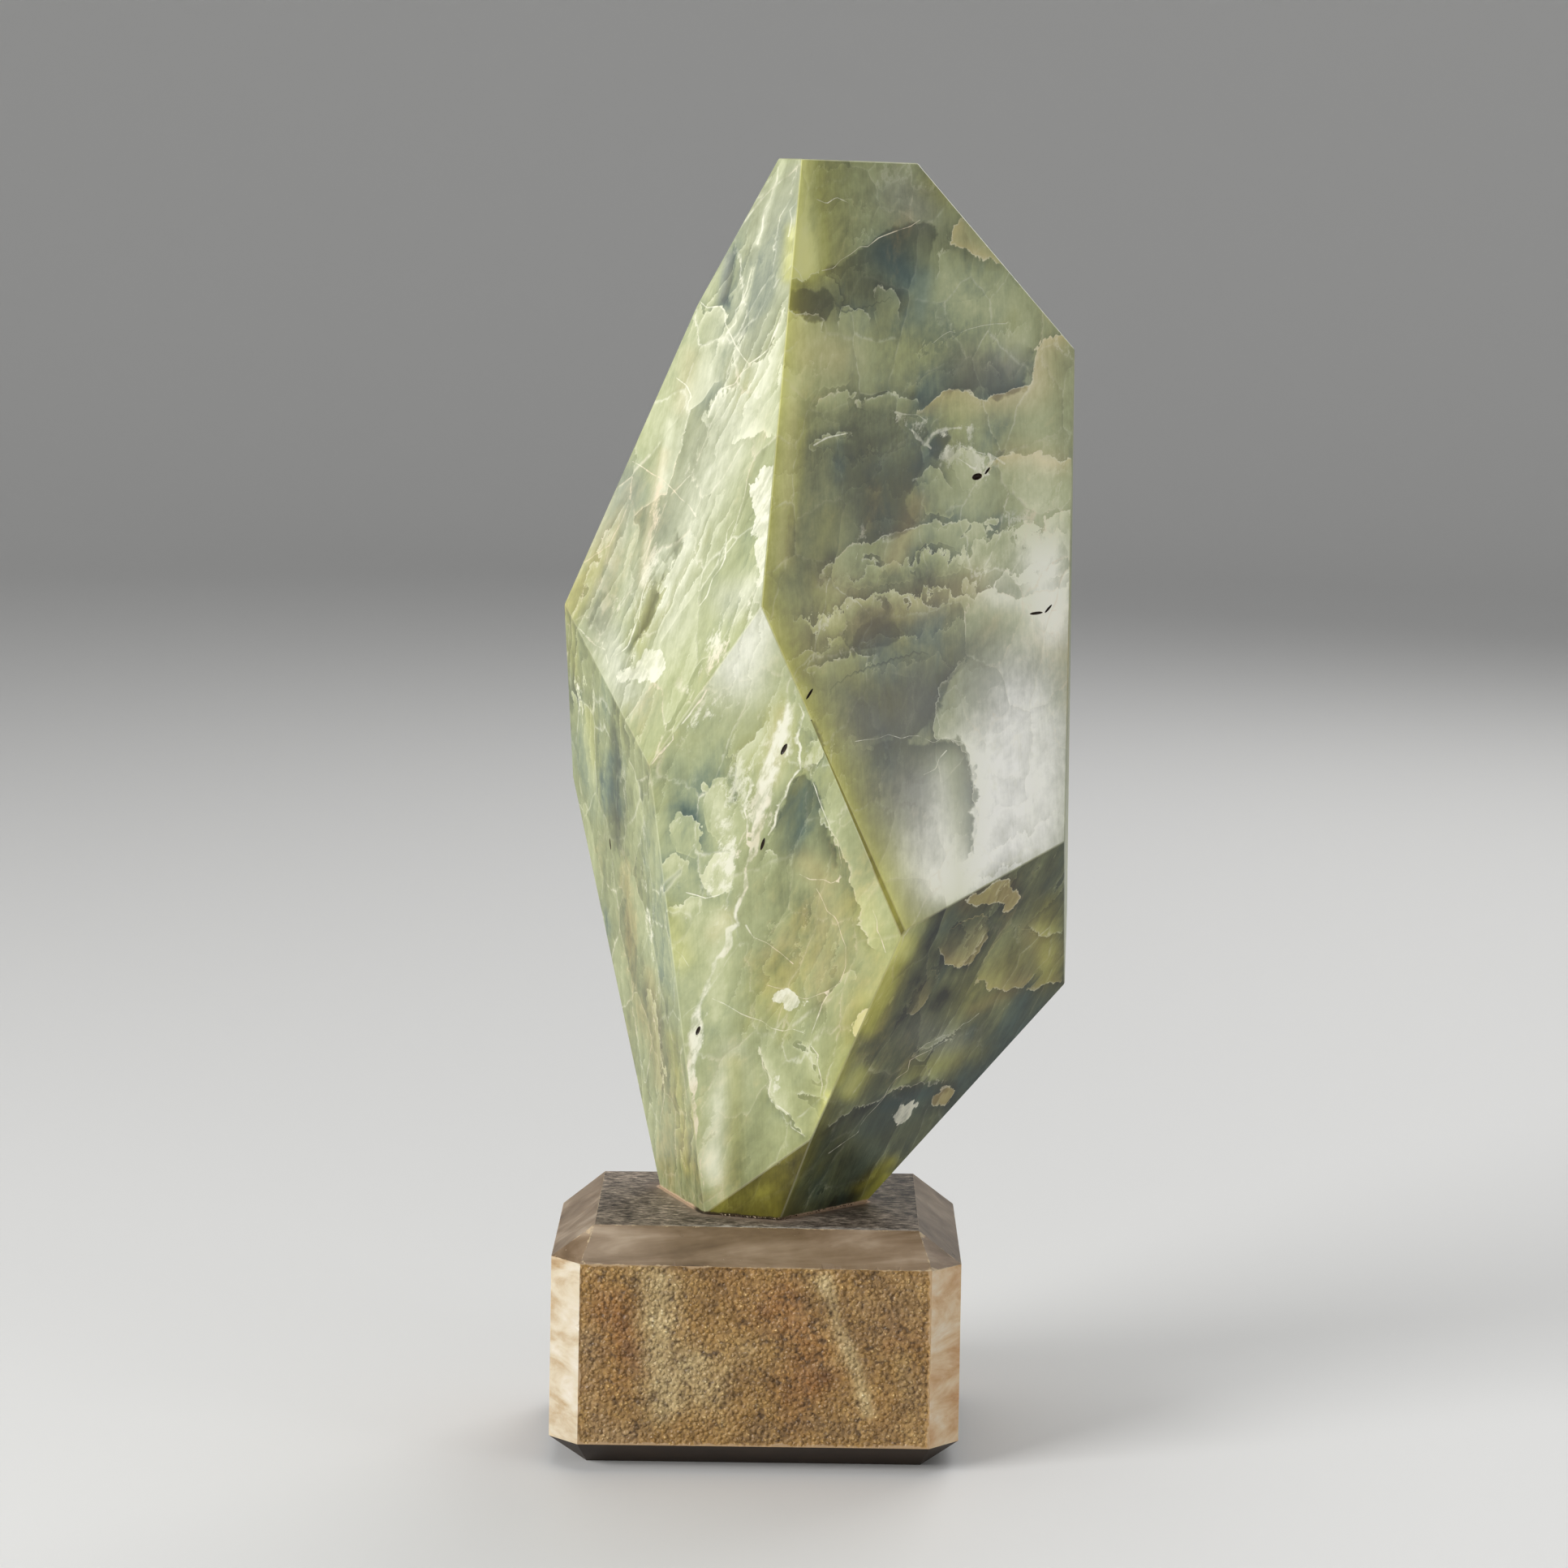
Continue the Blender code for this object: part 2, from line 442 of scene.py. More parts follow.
def lies_inside(points: np.ndarray, corners: np.ndarray) -> np.ndarray:
    """Say which 2-D points lie inside a closed outline.

    Args:
        points: (n, 2) places.
        corners: the outline's corners.

    Returns:
        n truth values.
    """
    inside = np.zeros(len(points), bool)
    for start, end in zip(corners, np.roll(corners, -1, axis=0)):
        rise = end[1] - start[1]
        if abs(rise) < 1e-12:
            continue
        crossed = (start[1] > points[:, 1]) != (end[1] > points[:, 1])
        side = start[0] + (points[:, 1] - start[1]) / rise * (end[0] - start[0])
        inside ^= crossed & (points[:, 0] < side)
    return inside


class FaceFiller:
    """Cuts the flat faces of a mesh into small, even triangles that fields can be stored on."""

    def __init__(self, face_step: Callable[[bmesh.types.BMFace], float], guides: np.ndarray) -> None:
        """Choose the triangles' sizes.

        Args:
            face_step: gives the spacing inside a face.
            guides: (n, 3) places that get a vertex of their own where they lie on a face.
        """
        self.face_step = face_step
        self.guides = guides

    def split_edges(self, shape: bmesh.types.BMesh) -> None:
        """Divide the long edges of a mesh into even runs, as fine as their finer face.

        Args:
            shape: the mesh, which this changes.
        """
        rim_run = 1.1  # an edge's runs, as a share of its face's spacing
        steps = {face: self.face_step(face) for face in shape.faces}
        for edge in list(shape.edges):
            start, end = edge.verts
            step = rim_run * min(steps[face] for face in edge.link_faces)
            for left in range(math.ceil(edge.calc_length() / step), 1, -1):
                start = bmesh.utils.edge_split(edge, start, 1.0 / left)[1]
                edge = next(run for run in start.link_edges if end in run.verts)

    def seeds(self, rim: np.ndarray, step: float, guides: np.ndarray) -> np.ndarray:
        """Scatter vertices inside a face.

        Args:
            rim: the face's corners, in its own plane.
            step: the spacing wanted.
            guides: places in the plane that come first.

        Returns:
            The (n, 2) places.
        """
        guide_margin, guide_room, rim_margin = (share * step for share in (0.3, 0.6, 0.45))
        low, high = rim.min(0), rim.max(0)
        rows = np.arange(low[1], high[1], step * math.sqrt(0.75))
        columns = np.arange(low[0], high[0] + step, step)
        lattice = np.stack(np.meshgrid(columns, rows), -1)
        lattice[1::2, :, 0] += step / 2
        lattice = lattice.reshape(-1, 2)
        if len(guides):
            guides = guides[lies_inside(guides, rim)]
            guides = guides[edge_gaps(guides, rim) > guide_margin] if len(guides) else guides
        for guide in guides:
            lattice = lattice[np.abs(lattice - guide).max(1) > guide_room]
        lattice = lattice[lies_inside(lattice, rim)]
        if len(lattice):
            lattice = lattice[edge_gaps(lattice, rim) > rim_margin]
        return np.concatenate([guides.reshape(-1, 2), lattice])

    def fill(self, shape: bmesh.types.BMesh) -> FineMesh:
        """Cut every face of a mesh.

        Args:
            shape: the mesh, which this splits at its edges.

        Returns:
            The triangles.
        """
        on_face, weld = 5e-5, 1e-5
        self.split_edges(shape)
        shape.verts.ensure_lookup_table()
        shape.verts.index_update()
        shape.normal_update()
        points = [np.array(vert.co) for vert in shape.verts]
        triangles: list[tuple[int, int, int]] = []
        sources: list[int] = []
        for number, face in enumerate(shape.faces):
            rim_index = [vert.index for vert in face.verts]
            if len(rim_index) == 3:
                triangles.append(tuple(rim_index))
                sources.append(number)
                continue
            normal = np.array(face.normal)
            along = np.array(face.normal.orthogonal().normalized())
            axes = np.stack([along, np.cross(normal, along)], 1)
            origin = points[rim_index[0]]
            rim = (np.array([points[i] for i in rim_index]) - origin) @ axes
            on_plane = np.abs((self.guides - origin) @ normal) < on_face
            guides = (self.guides[on_plane] - origin) @ axes
            inner = self.seeds(rim, self.face_step(face), guides)
            first_new = len(points)
            points.extend(origin + inner @ axes.T)
            numbers = rim_index + list(range(first_new, len(points)))
            flat = [Vector(spot) for spot in np.concatenate([rim, inner]) * MILLIMETRES]
            cut = delaunay_2d_cdt(flat, [], [list(range(len(rim_index)))], 1, weld)
            corners = [numbers[given[0]] for given in cut[3]]
            for trio in cut[2]:
                triangles.append(tuple(corners[i] for i in trio))
                sources.append(number)
        return FineMesh(
            np.array(points),
            np.array(triangles),
            np.array(sources),
            np.array([face.normal for face in shape.faces]),
            np.array([face.calc_center_median() for face in shape.faces]),
            np.array([face.calc_area() for face in shape.faces]),
            np.array([2.0 * face.calc_area() / face.calc_perimeter() for face in shape.faces]),
        )


def merged_copy(node: str) -> bmesh.types.BMesh:
    """Copy a CAD node's mesh and weld its loose triangles.

    Args:
        node: the CAD node's name.

    Returns:
        The welded copy.
    """
    shape = bmesh.new()
    shape.from_mesh(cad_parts[node].data)
    bmesh.ops.remove_doubles(shape, verts=shape.verts[:], dist=1e-6)
    return shape


def seat_height() -> float:
    """Measure how high the base's top is.

    Returns:
        The height, in metres.
    """
    shape = merged_copy("stone_base")
    height = max(vert.co.z for vert in shape.verts)
    shape.free()
    return height


def dissolve_flat(shape: bmesh.types.BMesh) -> None:
    """Join coplanar faces into single flat ones.

    Args:
        shape: the mesh.
    """
    flat_enough = 0.003
    bmesh.ops.dissolve_limit(
        shape,
        angle_limit=flat_enough,
        verts=shape.verts[:],
        edges=shape.edges[:],
        use_dissolve_boundaries=False,
    )
    shape.normal_update()


def long_edges(shape: bmesh.types.BMesh, shortest: float) -> list[tuple[np.ndarray, np.ndarray]]:
    """List the ends of a shape's long edges.

    Args:
        shape: the shape.
        shortest: the shortest edge that counts, in metres.

    Returns:
        The two ends of each edge.
    """
    long = [edge for edge in shape.edges if edge.calc_length() > shortest]
    return [tuple(np.array(vert.co) for vert in edge.verts) for edge in long]


def spots(text: str) -> np.ndarray:
    """Read "x,z" pairs into an (n, 2) array."""
    return np.array([pair.split(",") for pair in text.split()], float).reshape(-1, 2)


def falloff(flat: np.ndarray, path: str, reach: float) -> np.ndarray:
    """Return 1 on a line drawn as "x,z" pairs, dying away past its reach."""
    return np.exp(-((edge_gaps(flat, spots(path), closed=False) / reach) ** 2))


def store(thing: bpy.types.Object, name: str, values: np.ndarray, domain: str = "POINT") -> None:
    """Keep one number for each vertex or face of an object.

    Args:
        thing: the object.
        name: the attribute's name.
        values: the numbers, in order.
        domain: POINT, FACE or CORNER.
    """
    made = thing.data.attributes.new(name, "FLOAT", domain)
    made.data.foreach_set("value", np.ascontiguousarray(values, np.float32))


# ---- the jade block's facets and markings -------------------------------------------------------------

JADE_HEART = np.array([0.0, 0.0, 0.280])  # facets are measured from here
SAME_WAY = 0.9999  # cosine past which a flat face lies on a known facet
SAME_SIDE = 0.999  # and past which it lies on one of the base's hammered sides
SQUARELY = 0.9  # cosine past which a face looks more or less along an axis
LEVEL = 0.99  # and past which it is level

# The stone's own grain: it lies in sheets, and the sheets are drawn out along a line.
SHEET_NORMAL = Vector((0.476, -0.797, -0.374)).normalized()
LINEATION = Vector((0.400, -0.182, 0.898)).normalized()
SIDEWAYS = SHEET_NORMAL.cross(LINEATION)


class Tint(Enum):
    """What a patch with a clear edge is made of."""

    LENS = "lens"
    CLOUD = "cloud"
    TAN = "tan"
    WHITE = "white"


class Hue(Enum):
    """What a wash changes: the stone itself, and in some washes the glare and the glow painted on it."""

    TONE = "tone"
    FLAKES = "flakes"
    OLIVE = "olive"
    # light coming through thin stone, painted as olive colour
    TEAL = "teal"
    WARM = "warm"
    # milky, colourless stone, and the glare softbox's sheen painted on the right front facet
    SILVER = "silver"
    MILK = "milk"


@dataclass(frozen=True)
class Patch:
    """A patch in the stone with a clear edge, drawn on a facet in millimetres.

    Attributes:
        crisp: the run of its outline that is a clear edge.
        soft: the rest of its outline, where it melts into the stone.
        fade: how far from the clear edge it melts away, or 0 to fit its own size.
    """

    crisp: str
    soft: str = ""
    fade: float = 0.0


@dataclass(frozen=True)
class Wash:
    """A soft change along a line on a facet: in the stone, and in some washes the glare and the glow painted
    on it.

    Attributes:
        amount: how much it changes on the line.
        reach: how far from the line it dies away, in millimetres.
        path: the line.
    """

    amount: float
    reach: float
    path: str


@dataclass(frozen=True)
class Vein:
    """A pale line through a facet.

    Attributes:
        path: its middle line, in millimetres.
        widths: its half-widths along the path, spread evenly.
    """

    path: str
    widths: tuple[float, ...]

    def jagged(self) -> np.ndarray:
        """Give the path the small jags of a real crack.

        Returns:
            Its (x, z) places, a guide step apart.
        """
        path = spaced(spots(self.path), JAG_STEP)
        chance = np.random.default_rng(int(abs(path).sum()))
        path[1:-1] += chance.normal(0.0, JAG_SIZE, path[1:-1].shape)
        return spaced(path, GUIDE_STEP)


@dataclass(frozen=True)
class Facet:
    """One flat of the block, and what shows in it.

    Attributes:
        azimuth: degrees round from the front, -Y, towards +X.
        tilt: degrees above the horizontal.
        reach: distance from the block's heart, in metres.
        tone: how light its stone is, 0 to 1; on the right lower facet it also holds painted shade.
        flakes: how strongly the overlapping flakes show.
        olive: how much light comes through it everywhere.
        thin_beside: the facets that it meets in a thin, glowing edge.
        glow: how strongly that edge glows.
        patches: its patches with clear edges, by what they are made of.
        washes: its soft changes, by what changes.
        veins: its pale lines.
    """

    azimuth: float
    tilt: float
    reach: float
    tone: float
    flakes: float
    olive: float = 0.0
    thin_beside: tuple[str, ...] = ()
    glow: float = 0.0
    patches: dict[Tint, tuple[Patch, ...]] = field(default_factory=dict)
    washes: dict[Hue, tuple[Wash, ...]] = field(default_factory=dict)
    veins: tuple[Vein, ...] = ()

    @property
    def normal(self) -> np.ndarray:
        """The unit vector that the facet faces along."""
        turn, rise = math.radians(self.azimuth), math.radians(self.tilt)
        return np.array([math.sin(turn) * math.cos(rise), -math.cos(turn) * math.cos(rise), math.sin(rise)])

    def depth(self, points: np.ndarray) -> np.ndarray:
        """Return how far points lie below the facet, in metres."""
        return self.reach - (points - JADE_HEART) @ self.normal

    def lift(self, flat: np.ndarray) -> np.ndarray:
        """Put (x, z) millimetre pairs on the facet.

        Args:
            flat: the (n, 2) pairs.

        Returns:
            The (n, 3) places, in metres.
        """
        x, z = flat.T / MILLIMETRES
        normal = self.normal
        rise = self.reach - normal[0] * (x - JADE_HEART[0]) - normal[2] * (z - JADE_HEART[2])
        return np.stack([x, JADE_HEART[1] + rise / normal[1], z], 1)


RIGHT_FRONT_LENSES = (
    Patch(
        "19,437 29,443 38,447 46,451 54,455 60,449 59,439", "56,432 47,429 42,426 33,424 26,422 21,429", 26
    ),
    Patch("6,432 15,431 21,433 25,425 19,420 11,422 6,424"),
    Patch("97,411 96,397 90,394 82,392 76,393 70,395 64,394", "58,400 61,407 70,411 83,412", 18),
    Patch(
        "57,383 60,375 58,368 54,363 49,357 47,354 55,348 51,345 41,343",
        "34,339 23,337 17,335 12,347 13,373 23,383 33,388 47,385",
        44,
    ),
    Patch("58,374 62,380 70,379 66,374 62,369 59,371"),
    Patch("32,307 33,312 37,315 43,316 49,311 48,306 41,304 34,304"),
    Patch("70,297 64,287 59,272 34,272", "23,276 22,288 29,295 43,299 58,303", 35),
    Patch("34,272 58,271 73,270 76,257 77,247 76,228", "62,221 50,229 41,247 36,262", 23),
    Patch("44,264 45,271 58,271 73,269 75,262", "64,253 50,254", 12),
)
RIGHT_FRONT_CLOUDS = (
    Patch("5,424 10,423 13,421 18,420 19,416", "26,411 30,402 29,394 16,392 3,392", 28),
    Patch("24,418 25,421 28,423 32,422 36,420", "38,412 34,405 26,407", 12),
    Patch("38,429 39,431 43,431 47,428 48,422", "46,409 40,409 39,419", 13),
    Patch("59,437 58,440 59,446 63,446", "74,442 86,434 103,416 86,414 65,416 59,422", 32),
    Patch("32,388 32,392 41,393 51,394 55,391", "52,386 42,386", 6),
    Patch("62,367 64,373 69,376 75,374 81,371", "84,366 82,358 75,358 67,360", 15),
    Patch("53,363 56,368 60,369 63,367 67,361", "68,353 66,346 59,346 57,353", 16),
    Patch(
        "20,330 23,337 30,338 35,341 41,343 46,343 53,346 60,349 65,346 71,349 77,347 83,344 92,345",
        "91,335 75,330 60,329 46,327 31,325",
        12,
    ),
    Patch("90,340 92,346 99,348 113,351", "113,318 102,319 90,325 86,334", 23),
    Patch("68,320 70,327 72,329 74,325 80,321 94,322 111,325", "112,309 90,309 75,312", 15),
    Patch("44,320 45,324 49,323 53,319 61,320 66,321", "67,314 55,310 47,312", 11),
    Patch("29,318 31,321 35,322 39,320 43,320", "44,315 36,313 31,313", 8),
    Patch("70,297 64,287 59,272 73,270 77,247 76,228", "74,218 113,234 112,304 87,308", 67),
    Patch("6,433 11,432 15,432 19,436", "19,447 12,456 7,447", 13),
    Patch("16,389 19,393 25,394 30,395 32,392", "30,388 22,386", 5),
    Patch("17,376 21,379 29,380", "28,376 20,374", 4),
    Patch("69,341 75,346 82,348 90,346", "87,340 75,337", 7),
    Patch("34,333 36,337 40,335 41,331", "38,328", 5),
    Patch("54,332 57,337 63,338 69,334", "65,329 58,328", 6),
    Patch("17,297 23,300 30,301 35,302 40,304", "42,295 32,290 20,290", 9),
    Patch("17,308 20,313 26,314 29,311", "27,306 21,305", 6),
)
RIGHT_FRONT_TANS = (
    Patch("70,455 65,450 63,446 67,444 74,442 84,438", "86,444 77,453"),
    Patch(
        "112,415 108,414 104,413 97,412 96,397 90,394 82,392 76,393 70,395 64,394 55,390 51,386",
        "60,384 75,380 102,383 113,388",
        15,
    ),
    Patch("81,368 84,370 93,372 97,372 102,367 113,371", "113,359 99,362 87,363", 10),
)
# Most tone and silver washes on the lower right, about 40 to 110 across and 215 to 335 up, are painted
# glare: a pale sheen laid in as colour over what the glare softbox really reflects.
RIGHT_FRONT_WASHES = {
    Hue.TONE: (
        Wash(-0.1, 10.5, "27,434 43,434"),
        Wash(0.2, 12.9, "71,426 88,422"),
        Wash(0.1, 8.2, "19,410 51,406"),
        Wash(-0.1, 14, "31,372 45,349"),
        Wash(0.12, 10.5, "78,363 102,359"),
        Wash(0.3, 12.3, "102,333 107,313"),
        Wash(-0.06, 10.5, "39,278 55,280"),
        Wash(0.26, 12.3, "56,235 62,220"),
        Wash(0.32, 21.1, "92,273 91,232"),
        Wash(0.2, 7, "8,417 12,398"),
        Wash(0.24, 7, "12,447 13,438"),
        Wash(0.18, 14.6, "106,272 102,235"),
        Wash(0.12, 11.7, "90,331 105,348"),
        Wash(-0.1, 7, "77,401 89,401"),
        Wash(0.18, 8.8, "67,265 69,228"),
        Wash(-0.1, 5.8, "16,377 12,336"),
        Wash(-0.12, 6.4, "44,447 36,429 15,427"),
        Wash(-0.1, 8.8, "33,378 31,361 41,347"),
        Wash(-0.1, 8.8, "71,303 52,292 35,287"),
        Wash(0.2, 9.4, "92,406 100,371 101,307"),
        Wash(0.18, 8.2, "73,386 75,334"),
        Wash(0.28, 3.8, "8,398 8,373 6,336"),
        Wash(0.28, 7, "75,259 77,219 65,217"),
        Wash(0.17, 7, "64,260 66,234"),
        Wash(0.12, 5.8, "54,226 71,219"),
        Wash(0.14, 8.8, "86,322 102,319"),
        Wash(-0.06, 8.8, "34,372 40,349"),
        Wash(0.18, 3.2, "11,475 11,438"),
        Wash(-0.07, 5.8, "25,336 43,315 32,304"),
        Wash(0.1, 7, "64,263 67,234"),
        Wash(0.1, 7.6, "75,334 89,310"),
        Wash(-0.08, 5.3, "25,333 37,315"),
        Wash(0.2, 4.4, "13,475 13,441"),
    ),
    Hue.FLAKES: (
        Wash(0.85, 20.5, "23,316 96,336"),
        Wash(0.35, 8.8, "19,373 28,361"),
        Wash(0.35, 8.8, "75,357 102,356"),
    ),
    Hue.OLIVE: (
        Wash(0.35, 6.4, "59,468 63,464"),
        Wash(0.5, 4.4, "12,384 9,350"),
        Wash(0.35, 10.2, "32,293"),
        Wash(0.45, 3.5, "38,250 49,224"),
        Wash(0.75, 7.9, "12,448 13,436"),
        Wash(0.55, 6.4, "17,471 19,438"),
        Wash(0.3, 10.5, "47,409 74,406 66,383"),
        Wash(0.35, 7.6, "21,471 22,438"),
        Wash(0.35, 7.6, "29,296 45,284"),
        Wash(0.6, 3.2, "11,475 11,438"),
        Wash(0.3, 7, "22,350 17,328 29,304"),
        Wash(0.6, 5, "13,475 13,441"),
    ),
    Hue.TEAL: (
        Wash(0.9, 7.6, "42,443 50,434"),
        Wash(0.7, 5, "55,435 54,419"),
        Wash(0.35, 8.8, "30,432"),
        Wash(0.45, 5.3, "41,367 43,349"),
    ),
    Hue.WARM: (
        Wash(0.35, 8.8, "6,413 24,407"),
        Wash(0.35, 5.8, "90,371 105,368"),
        Wash(0.3, 11.7, "17,308 26,316"),
        Wash(0.5, 5.8, "8,417 13,407"),
        Wash(0.45, 4.1, "46,335 54,355"),
        Wash(0.35, 7, "23,327 43,315"),
        Wash(0.45, 7.6, "34,313 75,325"),
        Wash(0.35, 3.5, "9,390 7,336"),
    ),
    Hue.SILVER: (
        Wash(0.45, 9.9, "47,464 53,460"),
        Wash(0.6, 8.8, "74,402 86,402"),
        Wash(0.5, 14, "39,278 55,283"),
        Wash(0.95, 16.4, "55,252 59,223"),
        Wash(0.9, 24.9, "91,284 88,227"),
        Wash(0.6, 13.2, "102,330 106,307"),
        Wash(0.8, 17.5, "103,272 100,232"),
        Wash(0.6, 9.9, "61,263 66,234"),
        Wash(0.4, 9.9, "86,322 102,319"),
        Wash(0.3, 7.6, "64,263 67,234"),
    ),
    Hue.MILK: (
        Wash(0.75, 3.8, "46,386 57,382 72,380"),
        Wash(0.85, 4.7, "66,371 76,371 79,364 73,362"),
        Wash(0.45, 4.1, "31,345 41,344"),
        Wash(0.35, 4.7, "29,304 17,322 13,323"),
        Wash(0.3, 17.5, "96,319 103,287 85,259"),
    ),
}
RIGHT_FRONT_VEINS = (
    Vein("19,437 29,443 38,447 46,451 54,455", (0.15,)),
    Vein("17,462 22,461 28,461", (0.2,)),
    Vein("33,272 41,273 49,273 58,272 70,270 75,267", (0.12,)),
    Vein("51,381 55,378 57,376 60,380 64,382 70,381", (0.3, 1, 0.8)),
    Vein("68,376 75,373 80,372 82,368 78,363", (0.5,)),
    Vein("74,374 76,367 74,363", (0.6,)),
    Vein("46,387 52,386 57,384", (0.6, 0.4)),
    Vein("58,259 61,261 64,265 66,267", (0.25,)),
    Vein("17,376 22,378 29,380", (0.3, 0.4, 0.2)),
    Vein("59,411 65,416 74,417 86,418", (0.12,)),
    Vein("52,381 55,376 59,374", (0.7, 0.4)),
    Vein("80,372 82,370 86,368", (0.4,)),
    Vein("66,372 71,370 74,367", (0.3,)),
    Vein("97,315 102,314 106,315", (0.3,)),
)
RIGHT_FRONT = Facet(
    27.4, 9.3, 0.0747, tone=0.46, flakes=0.26, thin_beside=("left_upper", "front_kite"), glow=1.0,
    patches={Tint.LENS: RIGHT_FRONT_LENSES, Tint.CLOUD: RIGHT_FRONT_CLOUDS, Tint.TAN: RIGHT_FRONT_TANS},
    washes=RIGHT_FRONT_WASHES,
    veins=RIGHT_FRONT_VEINS,
)
LEFT_UPPER_LENSES = (
    Patch("-13,445 -11,441 -13,429 -15,423", "-18,425 -16,436", 9),
    Patch("-40,332 -38,329 -40,318 -43,308 -50,296", "-52,299 -46,311 -43,322", 12),
    Patch("-32,343 -31,339 -35,330 -39,319 -42,312", "-44,317 -38,332", 7),
)
LEFT_UPPER_CLOUDS = (
    Patch("6,424 5,418 2,411 -2,405 -6,403", "-7,389 0,378 5,382 8,407", 35),
    Patch("-25,425 -22,421 -19,423 -16,423 -15,417", "-19,408 -28,405 -33,407", 18),
    Patch("-21,384 -19,390 -15,394 -11,396", "-13,389 -17,380", 11),
    Patch("3,379 -4,379 -11,377", "-9,389 2,393", 9),
)
LEFT_UPPER_WHITES = (
    Patch("-53,290 -51,293 -45,296 -43,299 -36,300 -36,292 -41,288 -47,287 -52,287"),
    Patch(
        "2,376 6,373 6,362 7,354 6,347 4,343 5,333 4,323 1,321 -1,330 -3,336 -4,346 -5,351 -4,361 -3,367 "
        "0,372",
    ),
)
LEFT_UPPER_WASHES = {
    Hue.TONE: (
        Wash(0.13, 5.6, "3,404 -6,383 -15,369 -21,356 -28,337 -36,319"),
        Wash(0.1, 4.1, "11,471 2,458"),
        Wash(-0.14, 2.6, "-14,441 -16,426"),
        Wash(-0.1, 7.6, "-53,362 -42,346"),
        Wash(-0.08, 4.4, "-4,361 -7,336"),
        Wash(-0.08, 8.8, "-5,437 -3,409"),
        Wash(-0.09, 5.8, "-22,388 -28,370"),
        Wash(-0.07, 5.8, "-54,322 -63,309"),
        Wash(0.12, 4.4, "-3,328 5,325"),
        Wash(0.22, 1.2, "5,475 1,464 -2,454 -4,446"),
        Wash(0.18, 1.5, "12,464 8,449"),
        Wash(0.22, 1.2, "-6,437 -8,427 -12,417 -16,411"),
        Wash(0.18, 1.5, "-35,381 -37,370 -38,361 -41,350 -43,338 -44,323"),
    ),
    Hue.OLIVE: (
        Wash(0.55, 2.6, "8,451 7,435"),
        Wash(0.35, 1.5, "7,362 6,337"),
    ),
    Hue.TEAL: (
        Wash(0.3, 8.2, "-53,362 -42,346"),
    ),
    Hue.WARM: (
        Wash(0.45, 2, "-37,370 -41,350 -43,338 -44,323"),
        Wash(0.3, 3.5, "-28,405 -31,387"),
    ),
    Hue.SILVER: (
        Wash(0.6, 2.9, "-14,441 -16,426"),
        Wash(0.4, 5.8, "9,471 4,461"),
        Wash(0.35, 8.8, "3,326 -12,321"),
        Wash(0.4, 17.5, "4,458 -13,394 -42,317"),
        Wash(0.45, 10.5, "-52,357 -63,315 -50,285"),
    ),
    Hue.MILK: (
        Wash(0.55, 6.4, "-6,322 -15,307 -26,288"),
        Wash(0.75, 2.9, "-39,358 -41,335 -43,323"),
        Wash(0.45, 3.5, "3,401 -1,378"),
        Wash(0.35, 4.1, "-22,382 -33,347"),
        Wash(0.5, 2.9, "-53,317 -60,301"),
    ),
}
LEFT_UPPER_VEINS = (
    Vein("-49,366 -38,361 -32,356 -25,349", (0.3,)),
    Vein("-25,425 -22,422 -19,423 -16,423 -15,418 -12,410 -6,404 -2,406 0,410 4,417 6,424", (0.35,)),
    Vein("-33,397 -29,395 -27,390 -29,385", (0.25,)),
    Vein("-76,307 -69,304 -63,300", (0.3,)),
    Vein("-41,350 -42,343 -43,334", (0.6, 1.4, 0.8)),
    Vein("-73,310 -66,301 -58,298 -57,293", (0.3,)),
    Vein("12,469 8,458 7,449", (0.3,)),
    Vein("3,473 -1,457 -4,446", (0.4,)),
    Vein("-6,437 -8,427 -12,417 -16,411", (0.3,)),
    Vein("-21,384 -19,390 -15,394 -11,396 -6,403", (0.3,)),
    Vein("-11,349 -15,335 -23,318", (0.3,)),
    Vein("-57,293 -49,299 -45,316 -43,327", (0.25,)),
)
LEFT_UPPER = Facet(
    -48.8, 11.6, 0.0591, tone=0.7, flakes=0.5,
    patches={Tint.LENS: LEFT_UPPER_LENSES, Tint.CLOUD: LEFT_UPPER_CLOUDS, Tint.WHITE: LEFT_UPPER_WHITES},
    washes=LEFT_UPPER_WASHES,
    veins=LEFT_UPPER_VEINS,
)
FRONT_KITE_LENSES = (
    Patch("4,237 8,249 13,262 19,260 22,247", "24,238 21,229 14,224 11,207 4,194 0,200 1,221", 23),
    Patch("23,246 24,238 28,232 29,224", "18,221 15,231 18,244", 7),
    Patch("-10,260 -8,252 -11,245", "-14,247 -13,257", 5),
)
